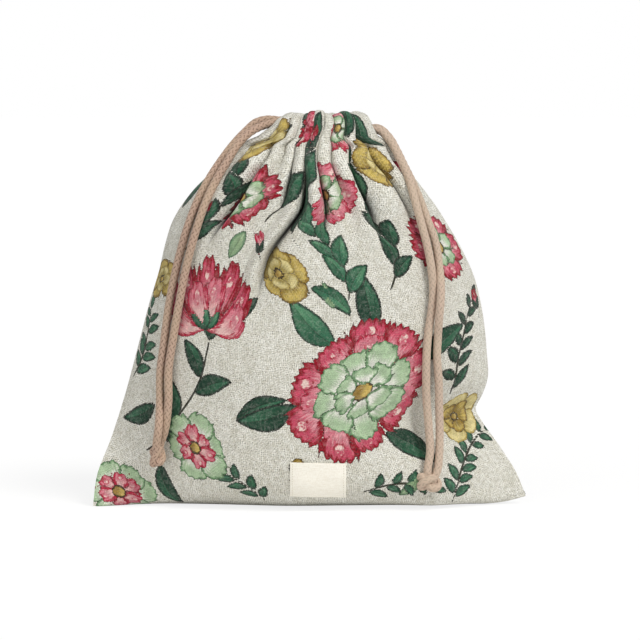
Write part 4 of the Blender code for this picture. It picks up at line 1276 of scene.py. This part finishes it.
@dataclass(frozen=True)
class Drawcord:
    """One drawcord: knotted to itself outside, once round inside the casing."""

    name: str
    route: tuple
    knot_middle: tuple
    knot_half: tuple
    knot_radius: float
    knot_lean: float                # radians that the wraps are tilted
    length: float

    def path(self) -> Array:
        """Points along the cord, half a millimetre apart, with its ends sunk in the knot."""
        x, y, z = self.knot_middle
        ends = [((start[0] + x) / 2, (start[1] + y) / 2, z + 0.0012)
                for start in (self.route[0], self.route[-1])]
        return evenly((ends[0], *self.route, ends[1]), 0.00048)

    def knot_path(self) -> Array:
        """The knot's own line: a closed overhand knot, drawn small and leaning.

        It winds twice round the upright axis and three times round its ring, as
        (2 + cos 3t) cos 2t, (2 + cos 3t) sin 2t, sin 3t, scaled to the knot less the cord.
        """
        t = np.linspace(0.15, 2 * math.pi + 0.10, 300)
        ring = (2.0 + np.cos(3 * t)) / 3.0
        half = np.array(self.knot_half) - self.knot_radius
        x, y, z = half[0] * ring * np.cos(2 * t), half[1] * ring * np.sin(2 * t), half[2] * np.sin(3 * t)
        return np.stack([x, y, z + self.knot_lean * x], axis=1) + np.array(self.knot_middle)

    def build(self, material: bpy.types.Material) -> list[bpy.types.Object]:
        """The cord and its knot, riding on the bag and standing for their solids."""
        path = self.path()
        cord = Braid(path).build(f"{self.name}_braid", material)
        knot = Braid(evenly(self.knot_path(), 0.0005), self.knot_radius, pitch=0.0019, relief=0.00030,
                     taper=0.45).build(f"{self.name}_knot_wraps", material)
        for piece in (cord, knot):
            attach(piece, BODY)
        side = self.name.split("_")[0]
        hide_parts(self.name)
        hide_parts(f"{side}_knot")
        return [cord, knot]


LEFT_CORD = Drawcord("left_drawcord", LEFT_ROUTE, (-0.0945, -0.0274, 0.0334), (0.0057, 0.0054, 0.0064),
                     0.0021, 0.30, 0.60)
RIGHT_CORD = Drawcord("right_drawcord", RIGHT_ROUTE, (0.0730, -0.0362, 0.0182), (0.0090, 0.0057, 0.0056),
                      0.0025, -0.10, 0.60)


@dataclass(frozen=True)
class Label:
    """The small sewn label at the bottom of the front, left bare."""

    left: float = -0.0125
    right: float = 0.0220
    bottom: float = 0.0100
    top: float = 0.0322
    tilt: float = 0.0012
    thickness: float = 0.0006
    columns: int = 46
    rows: int = 30
    off_cloth: float = 0.0009

    def points(self, panel: ClothPanel, off: float, inset: float = 0.0) -> Array:
        """A grid over the label, lying on the cloth at this distance off it."""
        across, up = np.meshgrid(np.linspace(0, 1, self.columns), np.linspace(0, 1, self.rows))
        x = self.left + inset + (self.right - self.left - 2 * inset) * across
        z = self.bottom + inset + (self.top - self.bottom - 2 * inset) * up - self.tilt * across
        depth, lean = panel.on_face(x.ravel(), z.ravel())
        y = depth.reshape(x.shape) - off * np.hypot(1.0, lean).reshape(x.shape)
        return np.stack([x, y, z], axis=-1)

    def build(self, panel: ClothPanel, tape: bpy.types.Material, thread: bpy.types.Material) -> None:
        """The tape and the row of stitches at each of its ends."""
        grid = self.points(panel, self.off_cloth)
        piece = new_piece("label_tape", grid, grid_faces(self.rows, self.columns), tape)
        solid = piece.modifiers.new("Tape thickness", "SOLIDIFY")
        solid.thickness = self.thickness
        solid.offset = 0.0
        bevel = piece.modifiers.new("Soft edge", "BEVEL")
        bevel.width = 0.00018
        bevel.segments = 2
        bevel.limit_method = "ANGLE"
        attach(piece, BODY)
        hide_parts("label")
        outer = grid + np.array([0.0, -0.5 * self.thickness - 0.00012, 0.0])
        lines = [outer[:, 2], outer[:, -3]]
        Stitching("label_stitches", lines, 0.0017, 0.0011, 0.00019).build(thread)


@dataclass
class Stitching:
    """A row of short thread stitches along lines on the cloth."""

    name: str
    lines: list[Array]
    spacing: float
    length: float
    radius: float

    def build(self, material: bpy.types.Material) -> bpy.types.Object:
        """One mesh of small capsules, each a ring of points carried along its stitch.

        A stitch's rings swell from its ends as sin(pi s)^0.5.
        """
        rings, around = 5, 6
        share = np.linspace(0.02, 0.98, rings)
        turn = np.linspace(0, 2 * math.pi, around, endpoint=False)
        starts, ends = [], []
        for line in self.lines:
            even = evenly(line, 0.0002)
            step = np.linalg.norm(np.diff(even, axis=0), axis=1).mean()
            first = np.arange(1, len(even) - int(self.length / step) - 1, max(2, int(self.spacing / step)))
            starts.append(even[first])
            ends.append(even[first + int(self.length / step)])
        start, end = np.concatenate(starts), np.concatenate(ends)
        ahead = end - start
        ahead = ahead / np.linalg.norm(ahead, axis=1)[:, None]
        side = np.cross(ahead, (0.0, 1.0, 0.0))
        side = side / np.linalg.norm(side, axis=1)[:, None]
        other = np.cross(ahead, side)
        middle = start[:, None] + (end - start)[:, None] * share[None, :, None]
        reach = self.radius * np.sin(math.pi * share) ** 0.5
        ring = (side[:, None, None] * np.cos(turn)[None, None, :, None]
                + other[:, None, None] * np.sin(turn)[None, None, :, None])
        points = middle[:, :, None] + ring * reach[None, :, None, None]
        quads = grid_faces(rings, around, closed=True)
        stitch_bases = (np.arange(len(start)) * rings * around)[:, None, None]
        faces = (quads[None] + stitch_bases).reshape(-1, 4).tolist()
        for base in range(0, len(start) * rings * around, rings * around):
            faces.append(list(range(base, base + around))[::-1])
            last = base + (rings - 1) * around
            faces.append(list(range(last, last + around)))
        piece = new_piece(self.name, points, faces, material)
        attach(piece, BODY)
        return piece


@dataclass(frozen=True)
class Studio:
    """The pale floor, the soft light and the camera."""

    distance: float = 2.2
    elevation: float = 5.0          # degrees above the floor
    aim: tuple = (0.0059, 0.0, 0.1154)
    ambient: float = 0.37
    floor_side: float = 16.0
    floor_glow: float = 0.78        # share of the floor that the camera sees as plain white light
    glow_strength: float = 1.05
    frame_width: float = 640 * PIXEL_MM * MM

    def floor(self) -> None:
        """A wide white floor, which the camera sees nearly white apart from soft shadows."""
        material, g, shader = new_material("White floor")
        set_finish(g, shader, Base_Color=srgb(246, 246, 246), Roughness=0.9, Specular_IOR_Level=0.0)
        seen = g.node("LightPath").outputs["Is Camera Ray"]
        glow = g.filled("Emission", ((1.0, 1.0, 1.0), self.glow_strength))
        mixed = g.filled("MixShader", (g.math("MULTIPLY", seen, self.floor_glow), shader.outputs[0], glow))
        g.put(g.tree.nodes["Material Output"].inputs["Surface"], mixed)
        far = self.floor_side / 2
        corners = np.array([(-far, -far, 0), (far, -far, 0), (far, far, 0), (-far, far, 0)], float)
        plane = new_piece("floor", corners, [[0, 1, 2, 3]], material)

    def world(self) -> None:
        """Soft even light, and a white background for what the camera sees past the floor."""
        world = bpy.data.worlds.new("Soft studio")
        bpy.context.scene.world = world
        world.use_nodes = True
        g = Graph(world.node_tree)
        g.tree.nodes.clear()
        rays = g.node("LightPath").outputs
        seen = g.math("MAXIMUM", rays["Is Camera Ray"],
                      g.math("MAXIMUM", rays["Is Glossy Ray"], rays["Is Transmission Ray"]))
        ambient = g.filled("Background", ((0.97, 0.985, 1.0), self.ambient))
        white = g.filled("Background", ((1.0, 1.0, 1.0), 1.0))
        g.put(g.node("OutputWorld").inputs["Surface"], g.filled("MixShader", (seen, ambient, white)))

    @staticmethod
    def sun(name: str, place: tuple, softness: float, strength: float, colour: tuple) -> None:
        """A soft distant lamp that shines from a place towards the bag's middle."""
        light = bpy.data.lights.new(name, "SUN")
        light.angle, light.energy, light.color = math.radians(softness), strength, colour
        holder = bpy.data.objects.new(name, light)
        holder.location = place
        holder.rotation_euler = (Vector((0.0, 0.0, 0.12)) - Vector(place)).to_track_quat("-Z", "Y").to_euler()
        bpy.context.scene.collection.objects.link(holder)

    def camera(self) -> None:
        """A long lens a little above the bag's middle, with the picture's frame at the bag."""
        data = bpy.data.cameras.new("camera")
        data.sensor_width = 36.0
        data.lens = 36.0 * self.distance / self.frame_width
        holder = bpy.data.objects.new("camera", data)
        lift = math.radians(self.elevation)
        aim = Vector(self.aim)
        holder.location = aim + self.distance * Vector((0.0, -math.cos(lift), math.sin(lift)))
        holder.rotation_euler = (aim - holder.location).to_track_quat("-Z", "Y").to_euler()
        bpy.context.scene.collection.objects.link(holder)
        bpy.context.scene.camera = holder

    def build(self) -> None:
        """All of it."""
        self.floor()
        self.world()
        self.sun("key", (0.9, -0.9, 1.5), 22.0, 2.14, (1.0, 0.985, 0.955))
        self.sun("fill", (-1.2, -1.3, 1.0), 50.0, 0.60, (1.0, 0.97, 0.92))
        self.camera()
        bpy.context.scene.view_settings.view_transform = "Standard"


class LunchBag:
    """The whole bag, sub-assembly by sub-assembly."""

    def __init__(self) -> None:
        """Makes the finishes and the shapes of the panels."""
        self.linen = PrintedLinen().build()
        self.cotton = BraidedCotton().build()
        self.tape = CottonTape().build()
        self.linen_thread = SewingThread((196, 188, 166), "Linen thread").build()
        self.tape_thread = SewingThread((232, 226, 210), "Label thread").build()
        self.front = ClothPanel(-1, FRONT_VALLEYS, FRONT_DENTS, 11)
        self.back = ClothPanel(1, BACK_VALLEYS, BACK_DENTS, 23)
        self.cords = (LEFT_CORD, RIGHT_CORD)

    def panels(self) -> None:
        """The two cloth panels, pressed in where the cords lie on them."""
        for panel in (self.front, self.back):
            panel.shape()
        for cord in self.cords:
            path = cord.path()[::4]
            outside = np.abs(path[:, 0] - RING_X) > RING_REACH
            self.front.yield_to(path[outside], CORD_ROOM)
        for panel, art, node in ((self.front, front_print(), "front_panel"),
                                 (self.back, back_print(), "back_panel")):
            piece = panel.build(self.linen, art)
            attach(piece, BODY)
            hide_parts(node)
            LOG.info("%s: %d points, %d shapes of ink", panel.name, panel.points[..., 0].size,
                     len(art.strokes))

    def drawcords(self) -> None:
        """Both drawcords and their knots."""
        for cord in self.cords:
            for piece in cord.build(self.cotton):
                LOG.info("%s: %d faces", piece.name, len(piece.data.polygons))

    def sewing(self) -> None:
        """The label and the rows of stitches that close the casings."""
        Label().build(self.front, self.tape, self.tape_thread)
        for panel, name in ((self.front, "front_casing_stitches"), (self.back, "back_casing_stitches")):
            line = panel.points[panel.stitch_row].copy()
            outward = np.gradient(line[:, :2], axis=0)
            outward = np.stack([outward[:, 1], -outward[:, 0]], axis=1)
            outward /= np.linalg.norm(outward, axis=1)[:, None]
            outward *= np.sign((outward * (line[:, :2] - np.array([RING_X, 0.0]))).sum(axis=1))[:, None]
            line[:, :2] += outward * (panel.thickness / 2 + 0.0001)
            Stitching(name, [line], 0.0026, 0.0018, 0.00022).build(self.linen_thread)

    def build(self) -> None:
        """Every sub-assembly, in order."""
        self.panels()
        self.drawcords()
        self.sewing()


def main() -> None:
    """Loads the frame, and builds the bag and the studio."""
    logging.basicConfig(level=logging.INFO, format="%(name)s: %(message)s")
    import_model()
    Studio().build()
    LunchBag().build()


if __name__ == "__main__":
    main()
